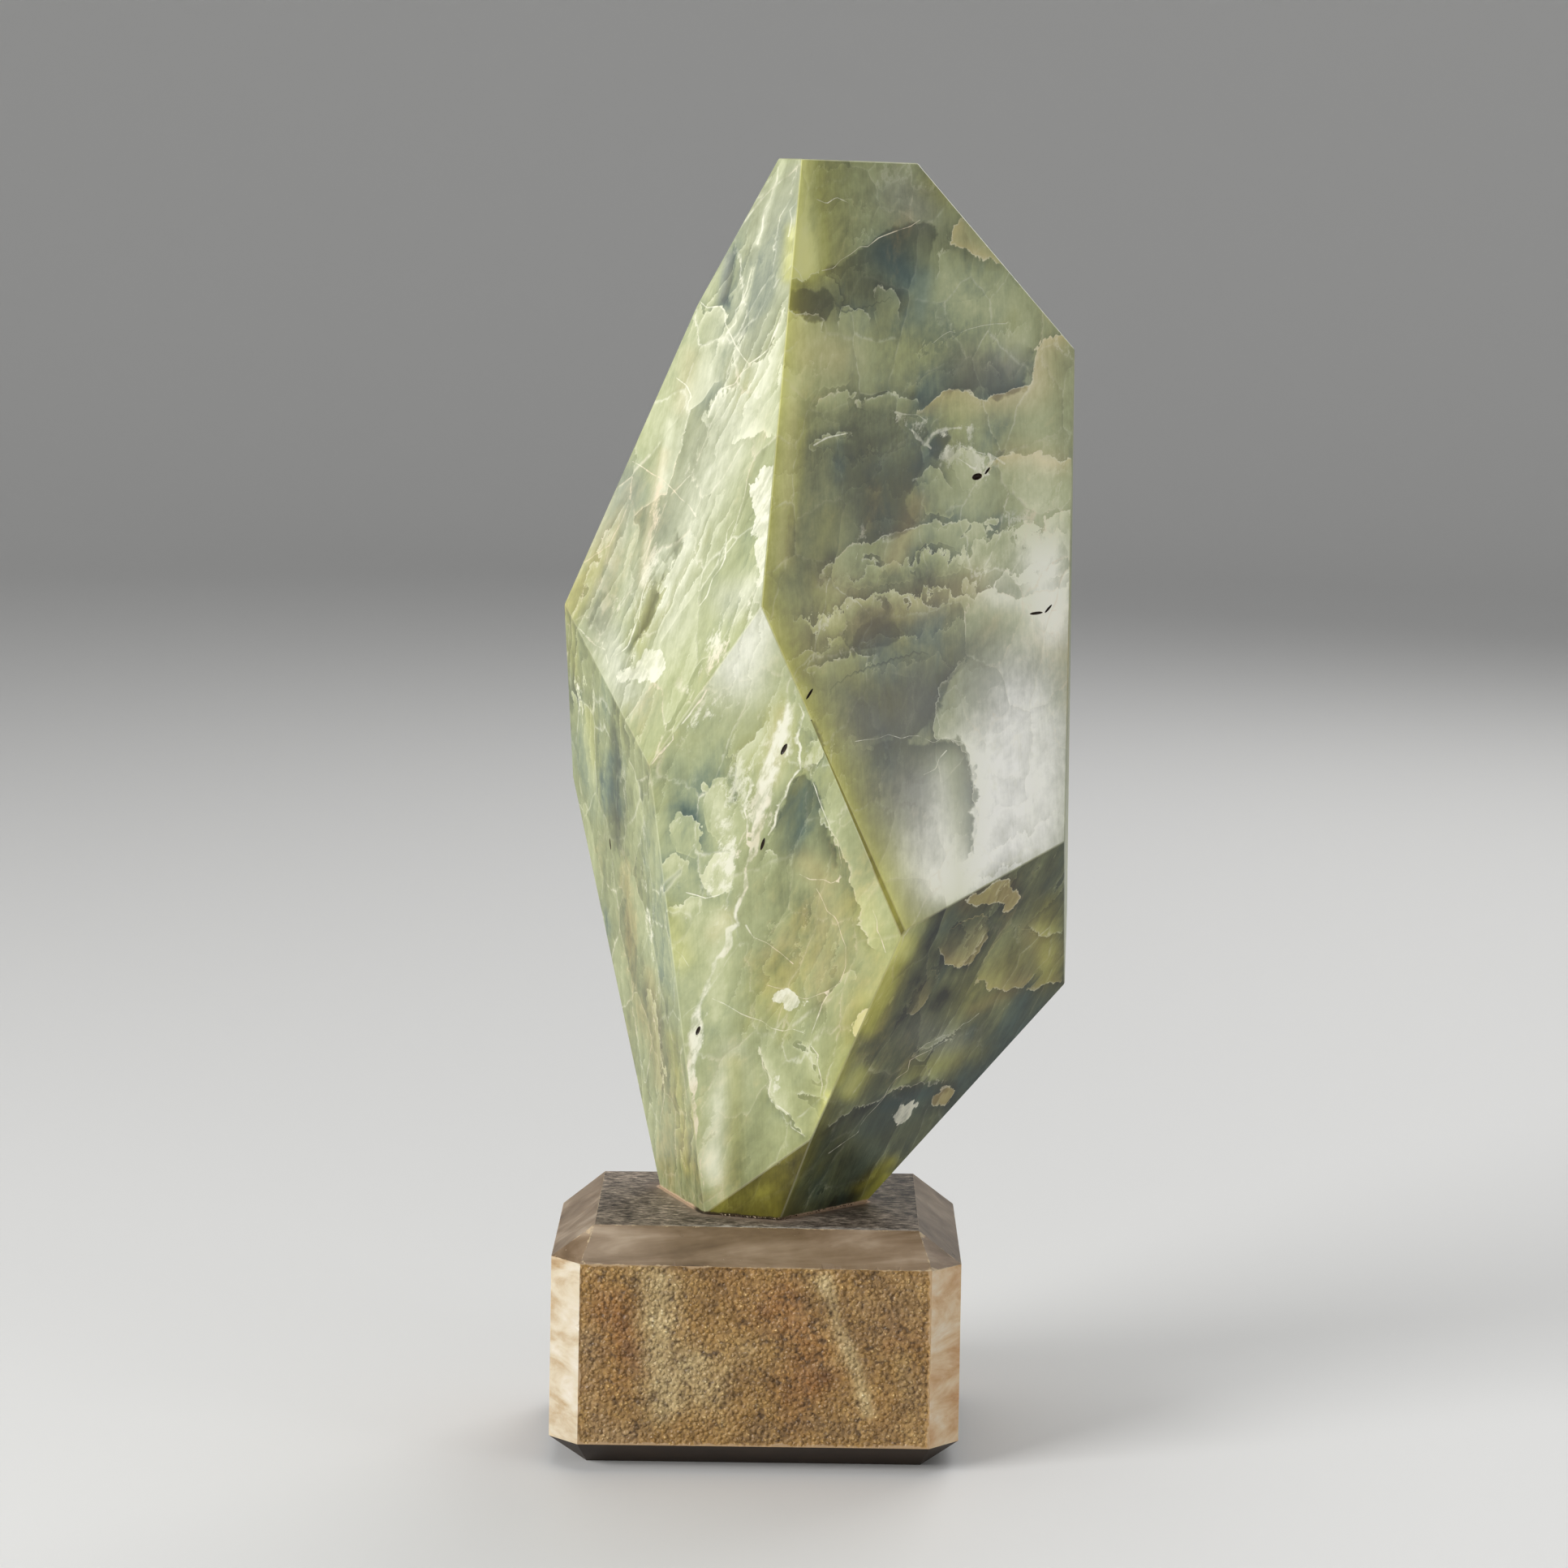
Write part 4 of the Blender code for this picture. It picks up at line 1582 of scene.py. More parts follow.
@dataclass(frozen=True)
class HammeredFinish:
    """Bush-hammered golden brown stone with rust and greenish patches.

    Attributes:
        stone: the stone's own colours, from its darkest grains to its palest.
        rust: iron-stained stone, likewise.
        sage: pale greenish stone, likewise.
        umber: dark brown stone, likewise.
        skin: the smooth stone left at the panel's edges.
        hollow: the dark colour laid in the deepest dents.
        grain: size of one grain, in metres.
    """

    stone: Shades = ((0.11, 0.055, 0.013), (0.31, 0.172, 0.044), (0.5, 0.305, 0.096), (0.86, 0.62, 0.28))
    rust: Shades = ((0.1, 0.034, 0.008), (0.27, 0.112, 0.024), (0.44, 0.205, 0.052), (0.72, 0.44, 0.18))
    sage: Shades = ((0.25, 0.175, 0.08), (0.5, 0.38, 0.18), (0.73, 0.6, 0.32), (0.92, 0.84, 0.58))
    umber: Shades = ((0.09, 0.05, 0.022), (0.225, 0.14, 0.065), (0.37, 0.255, 0.13), (0.62, 0.47, 0.29))
    skin: Colour = (0.44, 0.30, 0.17)
    hollow: Colour = (0.060, 0.030, 0.010)
    grain: float = 0.0016

    def build(self) -> bpy.types.Material:
        """Wire the material.

        Returns:
            The material.
        """
        finish = Finish("hammered_stone")
        board, place = finish.board, finish.place
        jitter = board.noise(place, 900.0, 1.0, gives="Color")
        grains = board.cells(board.shift(place, jitter, 0.0007), 1.0 / self.grain)
        shade, gloss, _ = board.split(board.read(grains, "Color"))
        dome = board.grade(board.read(grains, "Distance"), 0.72, 0.05)
        # A highlight is painted on the tops of some grains.
        tip_highlights = board.grade(dome, 0.62, 0.92) * board.grade(shade, 0.72, 0.95)
        level = shade * 0.22 + board.noise(place, 75.0, 5.0, 0.66) * 1.05 + tip_highlights * 0.42 - 0.30
        colour = board.ramp(level, self.stone)
        for name, shades, offset, spread in (
            ("rust_stain", self.rust, 0.0, 0.55),
            ("sage_stain", self.sage, 0.31, 0.50),
            ("umber_stain", self.umber, 0.67, 0.50),
        ):
            chance = board.noise(board.shift(place, (offset, offset, offset), 1.0), 24.0, 4.0, 0.62)
            stain = board.grade(board.attribute(name) * spread + chance, 0.52, 0.98, 0.0, 0.90)
            colour = board.tint(stain, colour, board.ramp(level, shades))
        colour = board.tint(gloss * 0.18, colour, self.skin)
        struck = board.attribute("struck")
        # The deepest dents are laid darker, in patches.
        dent_darkening = board.grade(board.attribute("dent"), 0.60, 1.00, 0.0, 0.85)
        dent_darkening = dent_darkening * board.grade(board.noise(place, 210.0, 4.0, 0.7), 0.42, 0.60, 0.15, 1.0)
        colour = board.tint(dent_darkening * struck, colour, self.hollow)
        colour = board.tint(board.grade(struck, 0.5, 0.1, 0.0, 0.8), colour, self.skin)
        finish.set(Base_Color=colour, Roughness=board.blend(gloss, 0.62, 0.34), IOR=1.5)
        finish.bump(dome * struck, 0.0007, 0.9)
        return finish.material


@dataclass(frozen=True)
class ChamferFinish:
    """Polished chamfers: streaky pinkish brown stone, a little see-through, worn pale along its edges.

    Attributes:
        top: colours of the chamfers that face up, from dark to pale streaks.
        cream: colours of the chamfers down the left corners.
        blush: colours of the chamfers down the right corners.
        worn: bruised stone along the edges.
    """

    top: Shades = ((0.085, 0.05, 0.024), (0.18, 0.117, 0.064), (0.285, 0.202, 0.128), (0.45, 0.35, 0.25))
    cream: Shades = ((0.25, 0.13, 0.045), (0.45, 0.31, 0.165), (0.62, 0.53, 0.38), (0.72, 0.66, 0.56))
    blush: Shades = ((0.37, 0.15, 0.045), (0.6, 0.34, 0.15), (0.76, 0.56, 0.34), (0.86, 0.76, 0.6))
    worn: Colour = (0.66, 0.51, 0.31)

    def build(self) -> bpy.types.Material:
        """Wire the material.

        Returns:
            The material.
        """
        finish = Finish("polished_chamfer")
        board, place = finish.board, finish.place
        slanted = board.combine(
            board.dot(place, (0.99, 0.05, 0.08)) * 0.13,
            board.dot(place, (0.05, 0.9, 0.1)) * 0.6,
            board.dot(place, (-0.08, -0.2, 0.97)),
        )
        streaks = board.noise(slanted, 110.0, 5.0, 0.62, 0.5)
        clouds = board.noise(place, 28.0, 4.0, 0.6)
        level = streaks * 1.9 + clouds * 1.2 - 1.06
        # The upright chamfers read paler colours than the ones that face up: partly the stone's own colour,
        # partly painted light for the way each chamfer lies to the lamps.
        bright = level + 0.10
        to_right = board.grade(board.dot(place, ACROSS), -0.02, 0.02)
        corner = board.tint(to_right, board.ramp(bright, self.cream), board.ramp(bright, self.blush))
        upright = board.grade(abs(board.attribute("rise")), 0.3, 0.5, 1.0, 0.0)
        colour = board.tint(upright, board.ramp(level, self.top), corner)
        wear = board.attribute("crease_gap") + board.noise(place, 300.0, 4.0, 0.65) * 3.2
        colour = board.tint(board.grade(wear, 1.35, 1.80, 0.65, 0.0), colour, self.worn)
        dust = board.grade(board.noise(place, 1100.0, 1.0), 0.80, 0.84, 0.0, 0.6)
        colour = board.tint(dust, colour, self.cream[-1])
        finish.set(Base_Color=colour, Roughness=board.blend(clouds, 0.20, 0.40), IOR=1.52)
        finish.set(Subsurface_Weight=0.15, Subsurface_Scale=0.004, Subsurface_Radius=(1.0, 0.7, 0.45))
        finish.bump(board.noise(place, 160.0, 3.0), 0.0002, 0.35)
        return finish.material


@dataclass(frozen=True)
class ShadedUndersideFinish:
    """The chamfers that face down: the same polished stone, painted dark as shade.

    Attributes:
        shades: its colours, from dark to pale.
    """

    shades: Shades = ((0.010, 0.005, 0.002), (0.030, 0.017, 0.008), (0.052, 0.032, 0.017))

    def build(self) -> bpy.types.Material:
        """Wire the material.

        Returns:
            The material.
        """
        finish = Finish("shaded_underside")
        colour = finish.board.ramp(finish.board.noise(finish.place, 60.0, 4.0, 0.65), self.shades)
        finish.set(Base_Color=colour, Roughness=0.35, Specular_IOR_Level=0.12)
        return finish.material


@dataclass(frozen=True)
class CrumbFinish:
    """Loose crumbs of stone in the seam.

    Attributes:
        shades: their colours, from dirt to pale chips.
    """

    shades: Shades = ((0.02, 0.011, 0.006), (0.13, 0.08, 0.045), (0.42, 0.3, 0.19), (0.7, 0.6, 0.44))

    def build(self) -> bpy.types.Material:
        """Wire the material.

        Returns:
            The material.
        """
        finish = Finish("seam_crumbs")
        level = finish.board.grade(finish.board.noise(finish.place, 700.0, 3.0, 0.7), 0.36, 0.68)
        finish.set(Base_Color=finish.board.ramp(level, self.shades), Roughness=0.8)
        return finish.material


@dataclass(frozen=True)
class HonedFinish:
    """The base's matt top, dark grey with fine streaky specks, and a paler line round the socket.

    Attributes:
        grey: the stone's colours, from its specks to its dust.
        cut_edge: the fresh edge of the socket.
        halo: stone rubbed paler round the socket.
        chalk: dust lying along the front edge.
        shadowed_seam: the shadow painted in the gap at the front of the socket.
    """

    grey: Shades = ((0.022, 0.014, 0.01), (0.14, 0.108, 0.08), (0.33, 0.268, 0.208), (0.66, 0.51, 0.4))
    cut_edge: Colour = (0.66, 0.46, 0.32)
    halo: Colour = (0.36, 0.26, 0.19)
    chalk: Colour = (0.58, 0.54, 0.49)
    shadowed_seam: Colour = (0.018, 0.010, 0.006)

    def build(self) -> bpy.types.Material:
        """Wire the material.

        Returns:
            The material.
        """
        finish = Finish("honed_top")
        board, place = finish.board, finish.place
        stretched = {"Vector": place, "Rotation": (0.0, 0.0, math.radians(24.0)), "Scale": (0.45, 1.0, 1.0)}
        drawn = board.read(board.node("ShaderNodeMapping", stretched, vector_type="POINT"))
        specks = board.noise(drawn, 520.0, 5.0, 0.78)
        level = specks * 3.2 + board.noise(place, 45.0, 4.0) * 0.9
        colour = board.ramp(level - 1.68, self.grey)
        gap = board.attribute("socket_gap")
        colour = board.tint(board.grade(gap + specks * 12.0, 6.0, 14.0, 0.55, 0.0), colour, self.halo)
        lying = board.attribute("dust") * 0.55 + (specks - 0.5)
        across = board.dot(place, ACROSS)
        middle = board.grade(across, -0.040, -0.008) * board.grade(across, 0.070, 0.028)
        colour = board.tint(board.grade(lying, 0.34, 0.66, 0.0, 0.85) * middle, colour, self.chalk)
        # Round the socket's rim the cut edge shows, with a painted shadow where the gap opens at the front.
        seam = board.tint(open_seam(board, place), self.cut_edge, self.shadowed_seam)
        colour = board.tint(board.grade(gap + specks * 2.0, 1.7, 2.6, 0.90, 0.0), colour, seam)
        finish.set(Base_Color=colour, Roughness=0.62, IOR=1.5)
        finish.bump(specks, 0.00015, 0.8)
        return finish.material


@dataclass(frozen=True)
class PlainFinish:
    """An even matt finish.

    Attributes:
        name: the material's name.
        colour: its colour.
        roughness: its roughness.
    """

    name: str
    colour: Colour
    roughness: float

    def build(self) -> bpy.types.Material:
        """Wire the material.

        Returns:
            The material.
        """
        finish = Finish(self.name)
        finish.set(Base_Color=self.colour, Roughness=self.roughness)
        return finish.material


@dataclass(frozen=True)
class Stain:
    """A stain on the base's front panel.

    Attributes:
        hue: rust, sage or umber.
        amount: how strong it is.
        reach: how far it spreads, in millimetres.
        path: where it lies, in millimetres from the panel's lower left corner.
    """

    hue: str
    amount: float
    reach: float
    path: str


FRONT_STAINS = (
    Stain("rust", 0.50, 9, "14,52 18,40 24,30"),
    Stain("rust", 0.50, 11, "76,52 84,42 88,28 78,20"),
    Stain("rust", 0.45, 9, "112,56 118,44"),
    Stain("rust", 0.25, 8, "52,60 60,50"),
    Stain("rust", -0.35, 14, "40,20 60,12"),
    Stain("sage", 0.62, 9, "28,62 29,44 30,30 33,16"),
    Stain("sage", 0.40, 9, "42,30 48,18"),
    Stain("sage", 0.70, 3.5, "90,62 94,48 101,32 106,14"),
    Stain("sage", 0.40, 5, "118,34 121,20"),
    Stain("umber", 0.55, 6, "4,40 5,22 8,4 20,3"),
    Stain("umber", 0.35, 7, "60,3 84,8 122,3 124,24"),
    Stain("umber", 0.30, 16, "78,40 100,44 114,50 92,14"),
)


# ---- sub-assemblies -----------------------------------------------------------------------------------


@dataclass
class JadeBlock:
    """The faceted block, with its markings stored on a fine mesh.

    Attributes:
        shown_step: spacing of the mesh on the facets that carry markings.
        plain_step: spacing elsewhere.
        glow_reach: how deep light comes through beside a thin edge, in metres.
        hidden_tone: how light the stone is away from the drawn facets.
        hidden_flakes: how strongly its flakes show there.
        pit_depth: how far below the rest a hollow's faces lie, at least.
        eased_width: the widest an eased edge is.
        finish: the stone's finish.
    """

    shown_step: float = 0.00125
    plain_step: float = 0.0026
    glow_reach: float = 0.0085
    hidden_tone: float = 0.55
    hidden_flakes: float = 0.50
    pit_depth: float = 0.0003
    eased_width: float = 0.0012
    finish: NephriteFinish = field(default_factory=NephriteFinish)

    def face_step(self, face: bmesh.types.BMFace) -> float:
        """Return the mesh spacing that a flat face gets."""
        shown = any(np.array(face.normal) @ facet.normal > SAME_WAY for facet in FACETS.values())
        return self.shown_step if shown else self.plain_step

    def build(self) -> bpy.types.Object:
        """Make the block, store its fields and dress it.

        Returns:
            The finished object.
        """
        shape = merged_copy("jade_block")
        dissolve_flat(shape)
        corners = np.array([vert.co for vert in shape.verts])
        guides = [facet.lift(vein.jagged()) for facet in FACETS.values() for vein in facet.veins]
        fine = FaceFiller(self.face_step, np.concatenate(guides)).fill(shape)
        shape.free()
        block = new_mesh("jade_dressed", fine.points, fine.triangles.tolist())
        self.store_stone(block, fine.points)
        self.store_sweep(block, fine)
        self.store_faces(block, fine, corners)
        block.data.materials.append(self.finish.build())
        return block

    def store_stone(self, block: bpy.types.Object, points: np.ndarray) -> None:
        """Store how the stone changes over the facets.

        Args:
            block: the block's object.
            points: its vertices.
        """
        count = len(points)
        soft = {hue: np.zeros(count) for hue in Hue}
        soft[Hue.TONE] += self.hidden_tone
        soft[Hue.FLAKES] += self.hidden_flakes
        edge = {tint: np.full(count, FAR_OUTSIDE) for tint in Tint}
        hold = {tint: np.zeros(count) for tint in Tint}
        vein = np.full(count, NO_VEIN)
        for facet in FACETS.values():
            mine = np.flatnonzero(np.abs(facet.depth(points)) < ON_FACET)
            flat = points[mine][:, [0, 2]] * MILLIMETRES
            self.wash_over(soft, facet, mine, flat, points[mine])
            for tint in Tint:
                edge[tint][mine], hold[tint][mine] = self.patch_fields(facet.patches.get(tint, ()), flat)
            vein[mine] = self.vein_depth(facet.veins, flat)
        for hue, values in soft.items():
            store(block, hue.value, values)
        for tint in Tint:
            store(block, f"{tint.value}_edge", edge[tint])
            store(block, f"{tint.value}_hold", hold[tint])
        store(block, "vein", vein)
        store(block, "sill", (points[:, 2] - seat_height()) * MILLIMETRES)

    def wash_over(
        self,
        soft: dict[Hue, np.ndarray],
        facet: Facet,
        mine: np.ndarray,
        flat: np.ndarray,
        solid: np.ndarray,
    ) -> None:
        """Lay a facet's own stone and its washes on its vertices.

        Args:
            soft: the soft fields, which this fills in.
            facet: the facet.
            mine: the numbers of its vertices.
            flat: their (x, z) places in millimetres.
            solid: their places in metres.
        """
        soft[Hue.TONE][mine] = facet.tone
        soft[Hue.FLAKES][mine] = facet.flakes
        soft[Hue.OLIVE][mine] = facet.olive
        for beside in facet.thin_beside:
            through = facet.glow * np.exp(-np.maximum(FACETS[beside].depth(solid), 0.0) / self.glow_reach)
            soft[Hue.OLIVE][mine] = np.maximum(soft[Hue.OLIVE][mine], through)
        for hue, washes in facet.washes.items():
            for wash in washes:
                change = wash.amount * falloff(flat, wash.path, wash.reach)
                if hue is Hue.TONE:
                    soft[hue][mine] += change
                else:
                    soft[hue][mine] = np.maximum(soft[hue][mine], change)

    @staticmethod
    def patch_fields(patches: tuple[Patch, ...], flat: np.ndarray) -> tuple[np.ndarray, np.ndarray]:
        """Work out where patches of one tint lie on a facet.

        Args:
            patches: the patches.
            flat: the (x, z) places of the facet's vertices in millimetres.

        Returns:
            How far each vertex is inside the nearest outline, in millimetres, and how strong it is there.
        """
        edge = np.full(len(flat), FAR_OUTSIDE)
        hold = np.zeros(len(flat))
        score_kept = np.full(len(flat), -np.inf)
        fall, least, outside, nearness = 1.5, 0.3, -3.0, 0.01
        for patch in patches:
            crisp, soft = spots(patch.crisp), spots(patch.soft)
            outline = softened(np.concatenate([crisp, soft]))
            gap = edge_gaps(flat, outline)
            within = lies_inside(flat, outline)
            strength = np.ones(len(flat))
            if len(soft):
                gap = edge_gaps(flat, softened(crisp, closed=False), closed=False)
                from_soft = edge_gaps(flat, np.concatenate([crisp[-1:], soft, crisp[:1]]), closed=False)
                fade = patch.fade or MELTING * float(np.max(gap, initial=1.0, where=within))
                strength = np.exp(-((gap / fade) ** fall)) * from_soft / (from_soft + gap + least)
            inside = np.where(within, gap, -gap)
            score = np.where(inside > outside, strength, 0.0) + nearness * inside
            better = score > score_kept
            edge[better] = inside[better]
            hold[better] = strength[better]
            score_kept[better] = score[better]
        return edge, hold

    @staticmethod
    def vein_depth(veins: tuple[Vein, ...], flat: np.ndarray) -> np.ndarray:
        """Measure how far inside the nearest vein each vertex of a facet lies.

        Args:
            veins: the facet's veins.
            flat: the (x, z) places of its vertices in millimetres.

        Returns:
            1 on a vein's path, 0 at its side and less beyond.
        """
        depth = np.full(len(flat), NO_VEIN)
        parts, neighbourhood = 12, 20.0
        for vein in veins:
            path = vein.jagged()
            sketch = path[:: max(1, len(path) // parts)]
            near = np.flatnonzero(edge_gaps(flat, sketch, closed=False) < neighbourhood)
            steps = np.linalg.norm(flat[near][:, None] - path[None], axis=2)
            share = steps.argmin(1) / (len(path) - 1)
            width = np.interp(share, np.linspace(0.0, 1.0, len(vein.widths)), vein.widths)
            depth[near] = np.maximum(depth[near], 1.0 - edge_gaps(flat[near], path, closed=False) / width)
        return depth

    @staticmethod
    def store_sweep(block: bpy.types.Object, fine: FineMesh) -> None:
        """Store the coordinates that the sanding lines follow: fine across each facet, long up it.

        Args:
            block: the block's object.
            fine: its mesh.
        """
        across_scale, up_scale = 1150.0, 26.0
        normals = fine.normals[fine.sources]
        level = np.stack([-normals[:, 1], normals[:, 0], np.zeros(len(normals))], 1)
        level /= np.maximum(np.linalg.norm(level, axis=1, keepdims=True), 1e-6)
        corners = fine.points[fine.triangles]
        across = np.einsum("tcx,tx->tc", corners, level)
        store(block, "sweep_across", (across * across_scale).ravel(), "CORNER")
        store(block, "sweep_up", (corners[:, :, 2] * up_scale).ravel(), "CORNER")

    def store_faces(self, block: bpy.types.Object, fine: FineMesh, corners: np.ndarray) -> None:
        """Mark the eased edges, which take a painted highlight, and the hollows.

        Args:
            block: the block's object.
            fine: its mesh.
            corners: the corners of the flat faces.
        """
        own = np.einsum("fx,fx->f", fine.normals, fine.centres)
        ahead = np.einsum("fx,vx->fv", fine.normals, corners) - own[:, None]
        known = np.array([facet.normal for facet in FACETS.values()])
        drawn = (fine.normals @ known.T).max(1) > SAME_WAY
        hollow = ~drawn & (ahead.max(1) > self.pit_depth)
        eased = ~drawn & ~hollow & (fine.widths < self.eased_width)
        store(block, "pit", hollow[fine.sources].astype(float), "FACE")
        store(block, "eased", eased[fine.sources].astype(float), "FACE")


@dataclass
class StoneBase:
    """The chamfered base, with bush-hammered sides and a honed top.

    Attributes:
        front_step: mesh spacing on the front panel.
        side_step: mesh spacing on the other panels.
        plain_step: mesh spacing elsewhere.
        under_step: mesh spacing on the underside.
        panel_area: the smallest flat face that counts as part of a panel, in square metres.
        long_edge: the shortest edge that shows wear.
        dust_start: how far behind the front the dust begins to thin.
        dust_fade: how much further it reaches.
    """

    front_step: float = 0.00062
    side_step: float = 0.00085
    plain_step: float = 0.0024
    under_step: float = 0.02
    panel_area: float = 0.00001
    long_edge: float = 0.010
    dust_start: float = 0.034
    dust_fade: float = 0.012

    @staticmethod
    def flat_shape() -> tuple[bmesh.types.BMesh, list[Vector]]:
        """Copy the base with its four hammered sides planed flat.

        Returns:
            The mesh and the four sides' outward directions.
        """
        deepest_dent, flattest_dent = 0.0012, 1e-6
        nearly, roughly = 0.995, 0.7
        shape = merged_copy("stone_base")
        shape.normal_update()
        outwards = []
        for side in (Vector((0, -1, 0)), Vector((1, 0, 0)), Vector((0, 1, 0)), Vector((-1, 0, 0))):
            facing = [face for face in shape.faces if face.normal.dot(side) > nearly]
            rim = max(facing, key=lambda face: face.calc_area())
            outward, origin = rim.normal.copy(), rim.calc_center_median()
            outwards.append(outward)
            for vert in shape.verts:
                height = (vert.co - origin).dot(outward)
                dented = -deepest_dent < height < -flattest_dent
                if dented and all(face.normal.dot(outward) > roughly for face in vert.link_faces):
                    vert.co -= outward * height
        shape.normal_update()
        dissolve_flat(shape)
        return shape, outwards

    def build(self) -> bpy.types.Object:
        """Make the base and dress it.

        Returns:
            The finished object.
        """
        shape, outwards = self.flat_shape()

        def is_hammered(normal: Vector, area: float) -> bool:
            """Say whether a flat face belongs to a hammered panel."""
            return area > self.panel_area and any(normal.dot(outward) > SAME_SIDE for outward in outwards)

        def step(face: bmesh.types.BMFace) -> float:
            """Choose the mesh spacing that a flat face gets.

            Args:
                face: the flat face.

            Returns:
                The spacing, in metres.
            """
            if is_hammered(face.normal, face.calc_area()):
                return self.front_step if face.normal.y < -SQUARELY else self.side_step
            return self.plain_step if face.normal.z > -SQUARELY else self.under_step

        edges = long_edges(shape, self.long_edge)
        fine = FaceFiller(step, np.zeros((0, 3))).fill(shape)
        shape.free()
        hammered = np.array([is_hammered(Vector(n), a) for n, a in zip(fine.normals, fine.areas)])
        upper_part = CAD_BOX[0].z + 0.08
        top = (fine.normals[:, 2] > LEVEL) & (fine.centres[:, 2] > upper_part)
        overhang = -0.3
        under = fine.normals[:, 2] < overhang
        base = new_mesh("base_dressed", fine.points, fine.triangles.tolist())
        self.store_panels(base, fine, outwards, hammered)
        self.store_places(base, fine, edges)
        for finish in (ChamferFinish(), HonedFinish(), HammeredFinish(), ShadedUndersideFinish()):
            base.data.materials.append(finish.build())
        kinds = np.select([hammered, top, under], [2, 1, 3], 0)[fine.sources]
        base.data.polygons.foreach_set("material_index", kinds.astype(np.int32))
        return HammeredRelief().apply(base, base.data.materials[2])

    @staticmethod
    def store_panels(
        base: bpy.types.Object, fine: FineMesh, outwards: list[Vector], hammered: np.ndarray
    ) -> None:
        """Store how far inside its panel each vertex lies, and the stains on the front one.

        Args:
            base: the base's object.
            fine: its mesh.
            outwards: which way each hammered side faces.
            hammered: which flat faces are hammered.
        """
        strike = np.zeros(len(fine.points))
        stains = {stain.hue: np.zeros(len(fine.points)) for stain in FRONT_STAINS}
        for outward in outwards:
            panel = hammered & (fine.normals @ np.array(outward) > SAME_SIDE)
            mine = np.unique(fine.triangles[panel[fine.sources]])
            inner = fine.points[mine]
            low, high = inner.min(0), inner.max(0)
            faces_front_or_back = abs(outward.y) > 0.7
            axes = [0, 2] if faces_front_or_back else [1, 2]
            strike[mine] = np.minimum(inner - low, high - inner)[:, axes].min(1) * MILLIMETRES
            if outward.y < -SQUARELY:
                flat = (inner[:, [0, 2]] - low[[0, 2]]) * MILLIMETRES
                for stain in FRONT_STAINS:
                    stains[stain.hue][mine] += stain.amount * falloff(flat, stain.path, stain.reach)
        for hue, amounts in stains.items():
            store(base, f"{hue}_stain", amounts)
        store(base, "strike", strike)
        store(base, "hammered", hammered[fine.sources].astype(float), "FACE")

    def store_places(
        self, base: bpy.types.Object, fine: FineMesh, edges: list[tuple[np.ndarray, np.ndarray]]
    ) -> None:
        """Store how each place lies to the socket, the front and the worn edges.

        Args:
            base: the base's object.
            fine: its mesh.
            edges: the two ends of each edge that shows wear.
        """
        store(base, "rise", fine.normals[fine.sources][:, 2], "FACE")
        store(base, "socket_gap", edge_gaps(fine.points[:, :2], self.socket_rim()) * MILLIMETRES)
        front = fine.points[:, 1] - CAD_BOX[0].y
        store(base, "dust", np.clip(1.0 - (front - self.dust_start) / self.dust_fade, 0.0, 1.0))
        creases = [edge_gaps(fine.points, np.array(ends), closed=False) for ends in edges]
        store(base, "crease_gap", np.minimum.reduce(creases) * MILLIMETRES)

    @staticmethod
    def socket_rim() -> np.ndarray:
        """Find the outline of the socket's mouth.

        Returns:
            Its corners seen from above, in order round it.
        """
        shape = merged_copy("stone_base")
        under_rim = max(vert.co.z for vert in shape.verts) - 0.002
        socket_reach, slope = 0.055, 0.8

        def is_wall(face: bmesh.types.BMFace) -> bool:
            """Say whether a face leads down into the socket or over the edge."""
            return abs(face.normal.z) < slope and face.calc_center_median().z < under_rim

        high = [vert for vert in shape.verts if vert.co.z > under_rim and abs(vert.co.x) < socket_reach]
        mouth = [
            vert.co[:2]
            for vert in high
            if any(face.normal.z > LEVEL for face in vert.link_faces)
            and any(is_wall(face) for face in vert.link_faces)
        ]
        rim = np.array(mouth)
        shape.free()
        return rim[np.argsort(np.arctan2(*(rim - rim.mean(0)).T))]


